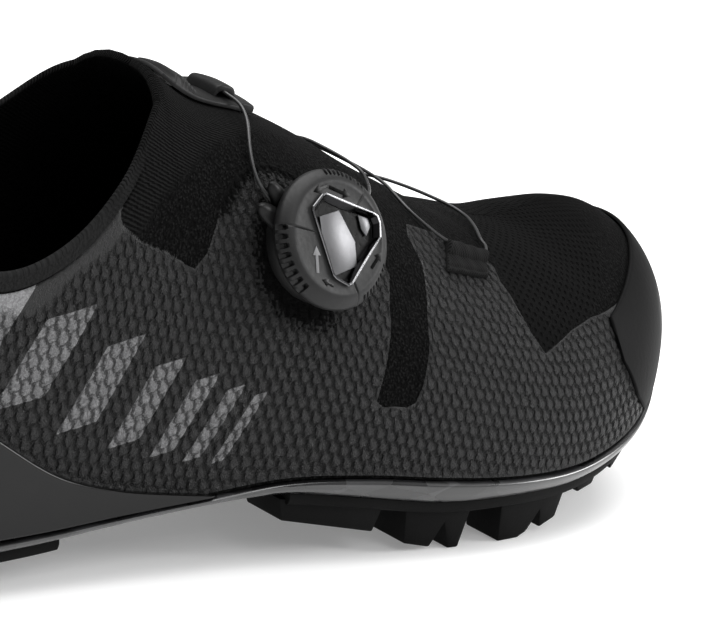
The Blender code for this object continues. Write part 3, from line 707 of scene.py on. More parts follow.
@dataclass(frozen=True)
class EmbossedFilm(Finish):
    """Black film pressed over the knit, with silver dashes."""

    crease_shade: Triple = (0.0050, 0.0050, 0.0051)
    smooth_colour: Triple = (0.0090, 0.0090, 0.0092)
    silver: Triple = (0.27, 0.27, 0.275)
    silver_mid: Triple = (0.13, 0.13, 0.133)
    silver_crease_shade: Triple = (0.055, 0.055, 0.056)

    def build(self) -> bpy.types.Material:
        """Film with painted shade in its creases, fine wrinkles, foil where the mesh says so, and near-black where it
        fades into the knit and in a painted shadow beside the dial.

        Returns:
            The material.
        """
        n = Nodes(self.name, self.colour, self.roughness)
        n.set(**{"Specular IOR Level": self.specular})
        calm, foil, _ = n.attribute("relief")
        x, y, fade_and_painted_shadow = n.attribute("chart")
        flat = n.vector(x, y)
        wrinkle = n.noise(flat, 1.3, 3.0, 1.2)
        grain = n.noise(flat, 3.4, 2.0)
        scales = SCALES.nodes(n, x, y)
        relief = n.math("MULTIPLY_ADD", n.math("SUBTRACT", scales, 1.0), calm, 1.0)
        rough_share = n.math("MULTIPLY_ADD", calm, 0.75, 0.25)
        uneven = n.math("ADD", n.math("MULTIPLY", wrinkle, 1.3), n.math("MULTIPLY", grain, 0.45))
        height = n.math("MULTIPLY_ADD", uneven, rough_share, relief)
        ink = n.steps(foil, -0.05, 0.05)
        wear_and_shadow = n.steps(n.math("ADD", wrinkle, n.math("MULTIPLY", grain, 0.5)), 0.45, 0.95)
        # Painted shade: the colour darkens to crease_shade in the creases between scales, mixed with random tone from
        # the wrinkles and grain.
        shade = n.math("MULTIPLY", n.math("SUBTRACT", n.math("ADD", grain, wrinkle), 1.0), 1.5)
        shade = n.steps(n.math("MULTIPLY_ADD", shade, rough_share, relief), 0.0, 1.15)
        black = n.blend(shade, self.crease_shade, n.blend(calm, self.smooth_colour, self.colour))
        # Near-black where the film fades into the knit, and as a painted shadow beside the dial. The roughness rises
        # there too.
        black = n.blend(n.steps(fade_and_painted_shadow, 0.0, 1.0), (0.0030, 0.0030, 0.0030), black)
        # The foil darkens to silver_crease_shade in the creases, as painted shade. Its mottle between bright and mid
        # silver is wear.
        silver = n.blend(n.steps(relief, 0.0, 0.5), self.silver_crease_shade, n.blend(wear_and_shadow, self.silver, self.silver_mid))
        rough = n.math("ADD", n.steps(relief, 0.1, 0.7, 0.65, self.roughness), n.steps(fade_and_painted_shadow, 0.0, 1.0, 0.45, 0.0))
        return n.finish(n.bump(height, 0.00110), n.blend(ink, black, silver), rough)


@dataclass(frozen=True)
class Knit(Finish):
    """The bootie's knit: ribs on the tongue, a dense knit, and open holes over the toes."""

    rib: Triple = (0.0105, 0.0105, 0.0105)
    thread: Triple = (0.0080, 0.0080, 0.0080)
    toe: Triple = (0.0040, 0.0040, 0.0040)
    rolled: Triple = (0.016, 0.016, 0.0162)
    # Near-black colour for painted shade in the gaps between loops, the grooves between ribs and the toe mesh's holes.
    hole_shade: Triple = (0.0003, 0.0003, 0.0003)
    rib_pitch: float = 0.86
    hole_pitch: float = 2.15

    def build(self) -> bpy.types.Material:
        """Knit whose kinds are mixed by what the mesh stores.

        Returns:
            The material.
        """
        n = Nodes(self.name, self.colour, self.roughness)
        n.set(**{"Specular IOR Level": 0.06})
        x, y, ribs = n.attribute("chart")
        rib_share, mesh_share, lining = n.attribute("zones")
        flat = n.vector(x, y)
        loop = n.cells(n.scaled(flat, (1.25, 1.0, 1.0), (0.0, 0.0, 0.2)), 1.25, "SMOOTH_F1")
        fuzz = n.noise(flat, 5.0, 3.0)
        stray = n.math("MULTIPLY", n.math("SUBTRACT", n.noise(n.scaled(flat, (0.35, 1.6, 1.0)), 1.0, 2.0), 0.5), 0.7)
        turns = n.math("MULTIPLY", n.math("ADD", ribs, stray), 2 * np.pi / self.rib_pitch)
        wave = n.math("MULTIPLY_ADD", n.math("SINE", turns), 0.5, 0.5)
        stitch = n.math("MULTIPLY_ADD", n.math("SINE", n.math("MULTIPLY", x, 7.0)), 0.5, 0.5)
        rib = n.math("ADD", n.math("MULTIPLY", wave, 0.85), n.math("MULTIPLY", n.math("MULTIPLY", stitch, fuzz), 0.3))
        rib = n.math("ADD", rib, n.math("MULTIPLY", n.math("SUBTRACT", fuzz, 0.5), 0.8))
        holes = self.holes(n, x, y)
        dense = n.math("ADD", n.math("MULTIPLY", loop, -1.3), n.math("MULTIPLY", fuzz, 0.5))
        pierced = n.math("ADD", n.math("MULTIPLY", holes, -1.3), n.math("MULTIPLY", fuzz, 0.5))
        height = n.math("ADD", n.math("MULTIPLY", rib, rib_share),
                        n.math("MULTIPLY", dense, n.math("SUBTRACT", 1.0, rib_share)))
        open_share = n.steps(mesh_share, -0.6, 0.9)
        height = n.math("ADD", n.math("MULTIPLY", height, n.math("SUBTRACT", 1.0, open_share)),
                        n.math("MULTIPLY", pierced, open_share))
        coarse = n.noise(flat, 2.0, 2.0)
        patchy = n.math("MULTIPLY_ADD", n.math("SUBTRACT", 0.5, coarse), 2.6, 0.08)
        # Painted shade: the gaps between loops, the grooves between ribs and the toe mesh's holes take the near-black
        # hole_shade colour.
        dark = n.blend(n.steps(n.math("ADD", loop, patchy), 0.05, 0.60), self.thread, self.hole_shade)
        speck = n.steps(n.math("ADD", coarse, n.math("MULTIPLY", n.math("SUBTRACT", fuzz, 0.5), 0.8)), 0.30, 0.70)
        ribbed = n.blend(n.steps(rib, 0.15, 0.85), self.hole_shade, self.rib)
        colour = n.blend(rib_share, dark, ribbed)
        open_knit = n.blend(n.steps(n.math("ADD", holes, n.math("MULTIPLY", patchy, 0.9)), -0.35, 0.55),
                            self.toe, self.hole_shade)
        colour = n.blend(open_share, colour, open_knit)
        rolled, _, _ = n.attribute("rolled")
        colour = n.blend(rolled, colour, n.blend(speck, self.rib, self.rolled))
        colour = n.blend(n.steps(lining, 0.1, 0.3), colour, n.blend(0.88, colour, (0.0, 0.0, 0.0)))
        return n.finish(n.bump(height, 0.0005), colour)

    def holes(self, n: Nodes, x: Socket, y: Socket) -> Socket:
        """Staggered round holes: 1 inside a hole.

        Args:
            n: the material's nodes.
            x: millimetres along the side.
            y: millimetres up it.

        Returns:
            The result's socket.
        """
        pitch = self.hole_pitch
        found = None
        for shift in (0.0, 0.5):
            a = n.math("WRAP", n.math("ADD", x, 2 * shift * pitch * 0.8), 0.8 * pitch, -0.8 * pitch)
            b = n.math("WRAP", n.math("ADD", y, 2 * shift * pitch * 0.6), 0.6 * pitch, -0.6 * pitch)
            away = n.math("SQRT", n.math("ADD", n.math("MULTIPLY", a, a), n.math("MULTIPLY", b, b)))
            hole_shade = n.steps(away, 0.30, 0.75, 1.0, 0.0)
            found = hole_shade if found is None else n.math("MAXIMUM", found, hole_shade)
        return found


@dataclass(frozen=True)
class Gloss(Finish):
    """Glossy moulding under a clear coat."""

    def build(self) -> bpy.types.Material:
        """A smooth surface with slow waves, as of a moulded film.

        Returns:
            The material.
        """
        n = Nodes(self.name, self.colour, self.roughness)
        n.set(**{"Coat Weight": 0.15, "Coat Roughness": 0.08, "Specular IOR Level": 0.17})
        return n.finish(n.bump(n.noise(n.place(), 60.0, 2.0), 0.0004))


@dataclass(frozen=True)
class Carbon(Finish):
    """Carbon made of chopped flakes, under a clear coat."""

    flake: Triple = (0.030, 0.030, 0.032)

    def build(self) -> bpy.types.Material:
        """Flakes of different greys that catch the light at different angles.

        Returns:
            The material.
        """
        n = Nodes(self.name, self.colour, self.roughness)
        n.set(**{"Coat Weight": 0.7, "Coat Roughness": 0.12})
        place = n.scaled(n.place(), (1.0, 1.0, 2.2))
        wobble = n.noise(place, 60.0, 2.0, 1.0)
        tint = n.cells(place, 95.0, "F1", "Color")
        value = n.made("ShaderNodeSeparateColor", {0: tint})
        share = n.math("MULTIPLY", value.outputs[0], wobble)
        colour = n.blend(n.steps(share, 0.1, 0.6), self.colour, self.flake)
        rough = n.steps(value.outputs[1], 0.0, 1.0, self.roughness - 0.08, self.roughness + 0.15)
        return n.finish(n.bump(value.outputs[2], 0.00006), colour, rough)


@dataclass(frozen=True)
class CapFilm(Finish):
    """Toe film: satin above, with rough glossy grains at the front."""

    def build(self) -> bpy.types.Material:
        """Grains that grow towards the front of the toe.

        Returns:
            The material.
        """
        n = Nodes(self.name, self.colour, self.roughness)
        n.set(**{"Specular IOR Level": 0.07})
        x, _, _ = n.attribute("chart")
        fine = n.noise(n.place(), 700.0, 3.0)
        grain = n.cells(n.place(), 520.0, "SMOOTH_F1")
        share = n.steps(x, 0.35, 0.85)
        grains = n.math("MULTIPLY", n.math("MULTIPLY", grain, share), -2.4)
        height = n.math("ADD", n.math("MULTIPLY", fine, 0.25), grains)
        rough = n.steps(x, 0.3, 0.9, self.roughness, 0.3)
        return n.finish(n.bump(height, 0.0003), roughness=rough)


@dataclass(frozen=True)
class Rubber(Finish):
    """Moulded rubber, matt, with lighter dusty patches whose roughness differs a little."""

    def build(self) -> bpy.types.Material:
        """Fine moulded grain.

        Returns:
            The material.
        """
        n = Nodes(self.name, self.colour, self.roughness)
        n.set(**{"Specular IOR Level": 0.09})
        grain = n.noise(n.place(), 1400.0, 2.0)
        dust = n.noise(n.place(), 70.0, 3.0)
        colour = n.blend(n.steps(dust, 0.35, 0.75), self.colour, tuple(1.5 * c for c in self.colour))
        return n.finish(n.bump(grain, 0.00006), colour, n.steps(dust, 0.3, 0.7, self.roughness - 0.08, self.roughness))


@dataclass(frozen=True)
class Weave(Finish):
    """Plain woven webbing or cloth."""

    pitch: float = 0.7

    def build(self) -> bpy.types.Material:
        """Over and under threads on the piece's own chart.

        Returns:
            The material.
        """
        n = Nodes(self.name, self.colour, self.roughness)
        n.set(**{"Specular IOR Level": 0.08})
        x, y, _ = n.attribute("chart")
        a = n.math("SINE", n.math("MULTIPLY", x, 2 * np.pi / self.pitch))
        b = n.math("SINE", n.math("MULTIPLY", y, 2 * np.pi / self.pitch))
        cross = n.math("MULTIPLY", a, b)
        fuzz = n.noise(n.vector(x, y), 5.0, 2.0)
        height = n.math("ADD", n.math("MULTIPLY", cross, 0.5), n.math("MULTIPLY", fuzz, 0.5))
        # Painted shade: darker where the weave's height is low, where the threads go under. The fuzz adds random tone.
        colour = n.blend(n.steps(height, -0.2, 0.7), tuple(0.3 * c for c in self.colour), self.colour)
        return n.finish(n.bump(height, 0.0003), colour)


@dataclass(frozen=True)
class Metal(Finish):
    """Bare metal."""

    def build(self) -> bpy.types.Material:
        """Fine brushed grain.

        Returns:
            The material.
        """
        n = Nodes(self.name, self.colour, self.roughness, 1.0)
        grain = n.noise(n.scaled(n.place(), (1.0, 1.0, 8.0)), 1500.0, 2.0)
        return n.finish(n.bump(grain, 0.00002), roughness=n.steps(grain, 0.2, 0.8, self.roughness - 0.04,
                                                                  self.roughness + 0.06))


class Finishes(Enum):
    """Every surface of the shoe."""

    FILM = EmbossedFilm("embossed_film", "film", (0.0150, 0.0150, 0.0153), 0.40, 0.25)
    # Darker, dull film for faces where the film fades into the knit, and for the painted shadow beside the dial.
    FADE_AND_SHADOW = EmbossedFilm("film_fade_and_painted_shadow", "film", (0.0150, 0.0150, 0.0153), 0.7, 0.06, (0.0030, 0.0030, 0.0030),
                        (0.0060, 0.0060, 0.0060))
    KNIT = Knit("bootie_knit", "knit", (0.0035, 0.0035, 0.0035), 0.9)
    CAP = CapFilm("toe_film", "film", (0.0016, 0.0016, 0.0017), 0.6)
    GLOSS = Gloss("heel_gloss", "gloss", (0.0022, 0.0022, 0.0023), 0.26)
    CARBON = Carbon("flaked_carbon", "carbon", (0.005, 0.005, 0.0053), 0.3)
    RUBBER = Rubber("tread_rubber", "rubber", (0.0015, 0.0015, 0.0015), 0.7)
    FOAM = Weave("insole_cloth", "foam", (0.006, 0.006, 0.006), 0.9)
    PLASTIC = Finish("satin_plastic", "plastic", (0.0045, 0.0045, 0.0046), 0.48, 0.2)
    DIAL = Finish("dial_plastic", "plastic", (0.0110, 0.0110, 0.0112), 0.45, 0.25)
    SLOPE = Metal("dark_chrome", "metal", (0.022, 0.022, 0.023), 0.14)
    PLASTIC_PALE = Finish("pale_print", "plastic", (0.16, 0.16, 0.165), 0.5)
    RECESS = Finish("dial_recess", "plastic", (0.0015, 0.0015, 0.0015), 0.3, 0.1)
    POLISH = Metal("polished_ring", "metal", (0.16, 0.16, 0.165), 0.18)
    PLATE = Metal("window_plate", "metal", (0.15, 0.15, 0.155), 0.38)
    WEBBING = Weave("woven_loop", "webbing", (0.011, 0.011, 0.011), 0.75)
    WIRE = Finish("lace_wire", "wire", (0.022, 0.022, 0.0225), 0.30, 0.5)


@dataclass
class Maker:
    """Turns shapes into finished pieces that ride on the shoe's one body."""

    body: str = "root"
    triangles: int = 0

    def mesh(self, name: str, columns: int, rows: int, thick: bool) -> tuple[Mesh, Array]:
        """A grid of unit squares, or a closed slab of them.

        Args:
            name: the mesh's name.
            columns: squares across.
            rows: squares up.
            thick: adds the other face and the sides.

        Returns:
            The mesh, and each vertex's column, row and layer.
        """
        bm = bmesh.new()
        bmesh.ops.create_grid(bm, x_segments=columns, y_segments=rows, size=0.5)
        if thick:
            grown = bmesh.ops.extrude_face_region(bm, geom=bm.faces[:])
            raised = [part for part in grown["geom"] if isinstance(part, bmesh.types.BMVert)]
            bmesh.ops.translate(bm, verts=raised, vec=(0.0, 0.0, 1.0))
        mesh = bpy.data.meshes.new(name)
        bm.to_mesh(mesh)
        bm.free()
        places = np.empty(3 * len(mesh.vertices))
        mesh.vertices.foreach_get("co", places)
        places = places.reshape(-1, 3)
        return mesh, np.round((places + (0.5, 0.5, 0.0)) * (columns, rows, 1)).astype(int)

    def write(self, mesh: Mesh, points: Array, **stored: Array) -> None:
        """Moves a mesh's vertices and stores vectors on them.

        Args:
            mesh: the mesh.
            points: places in metres.
            stored: an array of three numbers for each vertex, by attribute name.
        """
        mesh.vertices.foreach_set("co", np.ascontiguousarray(points, float).ravel())
        for name, values in stored.items():
            layer = mesh.attributes.new(name, "FLOAT_VECTOR", "POINT")
            layer.data.foreach_set("vector", np.ascontiguousarray(values, float).ravel())
        mesh.update()

    def piece(self, mesh: Mesh, finish: Finishes, *replaced: str, sharp: float = 40.0,
              merge: float = MERGE, closed: bool = True) -> bpy.types.Object:
        """Finishes a mesh as an object of the scene.

        Args:
            mesh: the shape, in its place.
            finish: its surface.
            replaced: the CAD nodes that it stands for.
            sharp: edges above this angle in degrees stay crisp.
            merge: vertices nearer than this become one.
            closed: the faces are turned out.

        Returns:
            The object.
        """
        bm = bmesh.new()
        bm.from_mesh(mesh)
        bmesh.ops.remove_doubles(bm, verts=bm.verts[:], dist=merge)
        bmesh.ops.dissolve_degenerate(bm, edges=bm.edges[:], dist=merge)
        if closed:
            bmesh.ops.recalc_face_normals(bm, faces=bm.faces[:])
        bm.to_mesh(mesh)
        bm.free()
        mesh.shade_smooth()
        mesh.set_sharp_from_angle(angle=np.radians(sharp))
        obj = bpy.data.objects.new(mesh.name, mesh)
        bpy.context.scene.collection.objects.link(obj)
        obj.data.materials.clear()
        obj.data.materials.append(finish.value.make())
        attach(obj, self.body)
        if replaced:
            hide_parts(*replaced)
        count = sum(len(face.vertices) - 2 for face in mesh.polygons)
        self.triangles += count
        LOG.info("%s: %d triangles", mesh.name, count)
        return obj


def close_ends(mesh: Mesh) -> None:
    """Joins the seam of a lofted mesh and fills its open ends.

    Args:
        mesh: changed in place.
    """
    bm = bmesh.new()
    bm.from_mesh(mesh)
    bmesh.ops.remove_doubles(bm, verts=bm.verts[:], dist=MERGE)
    bmesh.ops.holes_fill(bm, edges=[edge for edge in bm.edges if edge.is_boundary], sides=0)
    bm.to_mesh(mesh)
    bm.free()


def eased(count: int, length: float, radius: float, steps: int = 4) -> tuple[Array, Array]:
    """Shares along a piece whose ends are rounded, and how high the piece is at each.

    Args:
        count: even parts between the rounded ends.
        length: the piece's length in metres.
        radius: of the rounding.
        steps: parts of a rounding.

    Returns:
        The shares, and heights from 0 to 1.
    """
    angles = np.linspace(0, np.pi / 2, steps + 1)[:-1]
    near, lift = radius * (1 - np.cos(angles)) / length, np.sin(angles)
    inner = radius / length
    shares = np.concatenate([near, np.linspace(inner, 1 - inner, count + 1), 1 - near[::-1]])
    return shares, np.concatenate([lift, np.ones(count + 1), lift[::-1]])


@dataclass
class Patch:
    """A closed piece that lies on the last, with rounded edges."""

    last: Last
    name: str
    place: Places  # from shares (a, b) to (p, w)
    size: tuple[float, float]  # metres along a and b
    parts: tuple[int, int]
    low: Callable[[Array, Array], Array] | float
    high: Callable[[Array, Array], Array] | float
    radius: float

    def build(self, maker: Maker) -> Mesh:
        """The mesh, with the chart of its millimetres stored.

        Args:
            maker: makes the grid.

        Returns:
            The mesh.
        """
        a, lift_a = eased(self.parts[0], self.size[0], self.radius)
        b, lift_b = eased(self.parts[1], self.size[1], self.radius)
        mesh, index = maker.mesh(self.name, len(a) - 1, len(b) - 1, thick=True)
        a, lift_a, b, lift_b = a[index[:, 0]], lift_a[index[:, 0]], b[index[:, 1]], lift_b[index[:, 1]]
        p, w = self.place(a, b)
        top = self.high(a, b) if callable(self.high) else self.high
        low = self.low(a, b) if callable(self.low) else self.low
        lift = np.minimum(lift_a, lift_b) * index[:, 2]
        height = low + (top - low) * np.where(index[:, 2] > 0, 0.25 + 0.75 * lift, 0.0)
        chart = np.stack([a * self.size[0] / MM, b * self.size[1] / MM, 0 * a], -1)
        maker.write(mesh, self.last.over(p, w, height), chart=chart)
        return mesh


@dataclass
class Upper:
    """The knitted bootie with its rolled rim, lining and pressed film."""

    last: Last
    stations: int = 270
    rows: int = 84
    rows_in: int = 14
    rim_parts: int = 4
    rim_crowd: float = 0.35
    film_pitch: float = 0.52  # millimetres between the film's vertices
    film_top: float = 0.86
    scale_height: float = 0.00034
    film_lift: float = 0.00012
    band: float = 0.0036
    band_lift: float = 0.00045
    dash_lean: float = np.radians(32.0)
    dash_height: float = 19.0
    rib_length: float = 104.0

    @property
    def last_row(self) -> int:
        """Number of the last row of the bootie's grid, which meets the first."""
        return 3 + self.rows + self.rim_parts + self.rows_in

    def build(self, maker: Maker) -> None:
        """Builds the knit and the film of both sides.

        Args:
            maker: makes the pieces.
        """
        self.bootie(maker)
        for sign, outline, name in ((1, FILM_OUTSIDE, "film_outside"), (-1, FILM_INSIDE, "film_inside")):
            self.film(maker, sign, outline, name)

    def top(self, sign: int, theta: Array) -> Array:
        """The rise of the rim, or of the crest in front of the collar.

        Args:
            sign: 1 outside, -1 inside.
            theta: angles round the sole.

        Returns:
            The rises.
        """
        stations, lifts = np.array(RIM_LIFT).T

        def height(x: Array) -> Array:
            """Height of this side's rim."""
            return self.last.rim_height(x) + (sign < 0) * smooth(stations, lifts, x / self.last.length) * MM

        rise = self.last.rise_at_height(sign * theta, height)
        behind = (np.cos(theta) - np.cos(self.last.front)) / 2
        return 1 - (1 - rise) * ease(0.0, 0.018, behind)

    def bootie(self, maker: Maker) -> None:
        """One closed wall: outside, rolled rim, inside and the margin under the foot.

        Args:
            maker: makes the pieces.
        """
        last = self.last
        along = last.chart_along[1][-1]
        theta_front = last.front
        split = np.interp(theta_front, last.chart_theta, last.chart_along[1]) / along
        rear = round(self.stations * split)
        bm = bmesh.new()
        for sign in (1, -1):
            total = last.chart_along[sign][-1]
            at_front = np.interp(theta_front, last.chart_theta, last.chart_along[sign])
            share = np.linspace(0, 1, rear + 1)
            share = share + self.rim_crowd * share * (1 - share) * share
            stations = np.concatenate([at_front * share,
                                       np.linspace(at_front, total, self.stations - rear + 1)[1:]])
            theta = last.theta_along(sign, stations)
            theta[0], theta[rear], theta[-1] = 0.0, theta_front, np.pi
            mesh, index = maker.mesh("upper_side", self.stations, self.last_row, thick=False)
            self.side(maker, mesh, index, sign, theta, rear)
            part = bmesh.new()
            part.from_mesh(mesh)
            mark = part.verts.layers.float_vector["zones"]
            web = [face for face in part.faces if all(v[mark].z > 0.5 for v in face.verts)]
            bmesh.ops.delete(part, geom=web, context="FACES")
            part.to_mesh(mesh)
            part.free()
            bm.from_mesh(mesh)
            bpy.data.meshes.remove(mesh)
        mesh = bpy.data.meshes.new("bootie")
        bm.to_mesh(mesh)
        bm.free()
        maker.piece(mesh, Finishes.KNIT, "upper", sharp=75.0, merge=2e-5)

    def side(self, maker: Maker, mesh: Mesh, index: Array, sign: int, theta: Array,
             rear: int) -> None:
        """Places one side of the bootie.

        Args:
            maker: writes the mesh.
            mesh: the grid.
            index: column and row of each vertex.
            sign: 1 outside, -1 inside.
            theta: angle of each column.
            rear: the column at the front of the collar.
        """
        last = self.last
        top = self.top(sign, theta)
        column, row = index[:, 0], index[:, 1]
        angle, crown = theta[column], top[column]
        p = sign * angle
        outer = (1 - (1 - np.clip((row - 1) / self.rows, 0, 1)) ** 1.35) * crown
        turn = np.clip((row - 1 - self.rows) / self.rim_parts, 0, 1) * np.pi
        inner = np.clip((row - 1 - self.rows - self.rim_parts) / self.rows_in, 0, 1)
        bottom = 0.035
        w = np.where(row <= 1 + self.rows, outer, crown + (bottom - crown) * inner)
        depth = last.wall * (1 - np.cos(turn)) / 2
        normal = last.normal(p, w)
        upward = unit(last.skin(p, w + last.step) - last.skin(p, w - last.step))
        roll = last.wall / 2 * np.sin(turn) * (angle < last.front)
        points = last.skin(p, w) - normal * depth[:, None] + upward * roll[:, None]
        swell = self.swell(angle, w, sign) + self.collar_band(sign, angle, w, crown)
        points += normal * (swell * (turn < 0.1) + self.band_lift * 0.6 * (turn > 0.1) * (turn < 3.0)
                            * self.behind(angle))[:, None]
        for rows, lift in (((0, self.last_row), 0.0), ((self.last_row - 1,), last.wall)):
            line = last.outline(theta, -float(sign), -last.margin, lift)
            for number in rows:
                chosen = row == number
                points[chosen] = line[column[chosen]]
        chart = last.chart(sign, angle, w)
        ribs = (1 - w) * self.rib_length * sign
        mesh_line = signed_distance(chart, last.outline_in_chart(sign, TOE_MESH))
        rib = ease(-1.2, 2.2, signed_distance(chart, last.outline_in_chart(sign, RIBS)))
        below = self.below_rim(sign, angle, w, crown) / (self.band / MM)
        rolled = np.where(turn > 0.01, 1.0, ease(1.0, 0.9, below)) * self.behind(angle) * (turn < 2.9)
        seam = (turn > 0.01) & (column >= rear) & (row >= 1 + self.rows) & (inner < 1e-6)
        seam |= (column >= rear) & (row == 1 + self.rows)
        zones = np.stack([rib, mesh_line, np.where(seam, 1.0, 0.4 * (turn > 2.5))], -1)
        maker.write(mesh, points, chart=np.column_stack([chart, ribs]), zones=zones,
                    rolled=np.column_stack([rolled, 0 * rolled, 0 * rolled]))

    def behind(self, theta: Array) -> Array:
        """Share of the heel's rolled band: 1 round the heel, 0 at the front of the collar."""
        return ease(0.335, 0.300, station(theta))

    def below_rim(self, sign: int, theta: Array, w: Array, crown: Array) -> Array:
        """Millimetres from the rim down the side."""
        return self.last.chart(sign, theta, crown)[:, 1] - self.last.chart(sign, theta, w)[:, 1]

    def collar_band(self, sign: int, theta: Array, w: Array, crown: Array) -> Array:
        """The rolled band along the rim, with a groove under it, in metres.

        Args:
            sign: 1 outside, -1 inside.
            theta: angles round the sole.
            w: rises.
            crown: rises of the rim.

        Returns:
            Heights over the last.
        """
        below = self.below_rim(sign, theta, w, crown) / (self.band / MM)
        roll = self.band_lift * ease(1.02, 0.88, below)
        groove = -0.0006 * np.exp(-((below - 1.06) / 0.09) ** 2)
        return (roll + groove) * self.behind(theta)

    def swell(self, theta: Array, w: Array, sign: int) -> Array:
        """Soft unevenness of the cloth, in metres.

        Args:
            theta: angles round the sole.
            w: rises.
            sign: 1 outside, -1 inside.

        Returns:
            Heights over the last.
        """
        at = station(theta)
        fold = np.sin(46 * at + 5.0 * w) * np.sin(19 * w + 9 * at + sign)
        return 0.00016 * fold * ease(0.02, 0.25, w) * ease(0.99, 0.85, at)

    def dashes(self, sign: int, chart: Array) -> Array:
        """Distance into the silver dashes, in millimetres, below zero outside them.

        Args:
            sign: 1 outside, -1 inside.
            chart: points of (along, up).

        Returns:
            The distances.
        """
        best = np.full(len(chart), -9.0)
        if sign < 0:
            return best
        lean = np.tan(self.dash_lean)
        for number, (at, rise, width) in enumerate(DASHES):
            middle = self.last.spot(1, at, rise)
            half = self.dash_height / 2 * (1 - 0.045 * number)
            x, y = (chart - middle).T
            side = (width / 2 - np.abs(x - lean * y)) * np.cos(self.dash_lean)
            best = np.maximum(best, np.minimum(side, half - np.abs(y - 0.10 * x)))
        return best

    def film(self, maker: Maker, sign: int, outline: tuple, name: str) -> None:
        """The pressed film of one side, which sinks into the knit at its edge.

        Args:
            maker: makes the piece.
            sign: 1 outside, -1 inside.
            outline: its edge, stations and rises.
            name: the piece's name.
        """
        last = self.last
        end = np.interp(last.turn(0.905), last.chart_theta, last.chart_along[sign])
        columns = round(end / self.film_pitch)
        rows = round(66.0 / self.film_pitch)
        mesh, index = maker.mesh(name, columns, rows, thick=False)
        theta = last.theta_along(sign, np.linspace(0, end, columns + 1))
        top = np.minimum(self.film_top, self.top(sign, theta) - 0.02)
        top = np.minimum(top, np.interp(station(theta), (0.0, 0.30, 0.33, 0.60, 0.74, 0.76, 0.91),
                                        (0.9, 0.8, 0.74, 0.74, 0.72, 0.58, 0.64)))
        angle = theta[index[:, 0]]
        w = 0.008 + (top[index[:, 0]] - 0.008) * index[:, 1] / rows
        chart = last.chart(sign, angle, w)
        crown = self.top(sign, theta)[index[:, 0]]
        below = self.below_rim(sign, angle, w, crown) - self.band / MM - 0.35
        inside = signed_distance(chart, last.outline_in_chart(sign, outline))
        inside = np.where(angle < last.front, np.minimum(inside, below), inside)
        at = station(angle)
        smooth_band = ease(3.2, 6.5, below + 1.5 * np.sin(chart[:, 0] * 0.3)) + ease(0.32, 0.36, at)
        quiet = self.quiet(sign, angle, w, chart) * np.clip(smooth_band, 0, 1)
        calm = quiet * ease(-0.1, 0.5, inside)
        lift = self.film_lift + self.scale_height * (1 + calm * (SCALES.relief(chart) - 1))
        sink = 0.0006 * ease(0.3, -0.5, inside)
        height = lift - sink + self.swell(angle, w, sign)
        stored = np.stack([calm, self.dashes(sign, chart), inside], -1)
        neck = ease(0.48, 0.56, w) * ease(0.37, 0.40, at) * ease(0.61, 0.57, at)
        # 1 on bare film, falling to 0 where the film fades into the knit at the neck, and where a shadow is painted
        # beside the dial.
        fade_and_painted_shadow = 1 - neck * ease(6.0, 0.6, inside)
        if sign > 0:
            # Painted shadow: the film darkens on the dial's rear and lower side, where the knob's shadow falls.
            away = chart - last.spot(sign, *DIAL_AT)
            dial = np.hypot(*away.T)
            painted_shadow = ease(-0.35, 0.5, (-0.95 * away[:, 0] - 0.32 * away[:, 1]) / np.maximum(dial, 1.0))
            fade_and_painted_shadow = np.minimum(fade_and_painted_shadow, 1 - painted_shadow * ease(24.5, 15.5, dial))
        maker.write(mesh, last.over(sign * angle, w, height), relief=stored,
                    chart=np.column_stack([chart, fade_and_painted_shadow]))
        bm = bmesh.new()
        bm.from_mesh(mesh)
        mark = bm.verts.layers.float_vector["relief"]
        outer = [face for face in bm.faces if all(v[mark].z < -0.8 for v in face.verts)]
        bmesh.ops.delete(bm, geom=outer, context="FACES")
        if sign < 0:
            bmesh.ops.reverse_faces(bm, faces=bm.faces[:])
        bm.to_mesh(mesh)
        bm.free()
        self.dim_fade_and_shadow(maker.piece(mesh, Finishes.FILM, sharp=180.0, closed=False))

    def dim_fade_and_shadow(self, film: bpy.types.Object) -> None:
        """Gives the darker, dull film to faces where the film fades into the knit and to faces in the painted shadow
        beside the dial, scattered along their border.

        Args:
            film: the piece, changed in place.
        """
        mesh = film.data
        mesh.materials.append(Finishes.FADE_AND_SHADOW.value.make())
        fade_and_painted_shadow = np.empty(3 * len(mesh.vertices))
        mesh.attributes["chart"].data.foreach_get("vector", fade_and_painted_shadow)
        starts = np.empty(len(mesh.polygons), np.int32)
        mesh.polygons.foreach_get("loop_start", starts)
        corners = np.empty(len(mesh.loops), np.int32)
        mesh.loops.foreach_get("vertex_index", corners)
        # Faces where the film fades into the knit, and faces in the painted shadow beside the dial, take the darker,
        # dull film.
        limit = np.random.default_rng(7).uniform(0.02, 0.55, len(starts))
        wear_and_shadow = fade_and_painted_shadow[2::3][corners[starts]] < limit
        mesh.polygons.foreach_set("material_index", wear_and_shadow.astype(np.int32))

    def quiet(self, sign: int, theta: Array, w: Array, chart: Array) -> Array:
        """Where the relief fades: under other pieces, at the sole and at the heel's smooth band.

        Args:
            sign: 1 outside, -1 inside.
            theta: angles round the sole.
            w: rises.
            chart: points of (along, up).

        Returns:
            Shares of the relief that stay.
        """
        at = station(theta)
        share = ease(0.0, 3.0, chart[:, 1])
        share = np.minimum(share, ease(0.0, 4.0, chart[:, 0]))
        if sign > 0:
            dial = np.hypot(*(chart - self.last.spot(sign, *DIAL_AT)).T)
            share = np.minimum(share, 0.25 + 0.75 * ease(13.0, 16.0, dial))
        shares, heights = np.array(COUNTER_TOP).T
        counter = smooth(self.last.turn(shares), heights * self.last.collar, theta)
        low = self.last.skin(sign * theta, w)[:, 2] < counter + 0.001
        share = np.where(low & (at < 0.42), 0.2, share)
        return share * (1 - ease(0.838, 0.846, at) * ease(0.40, 0.45, w))


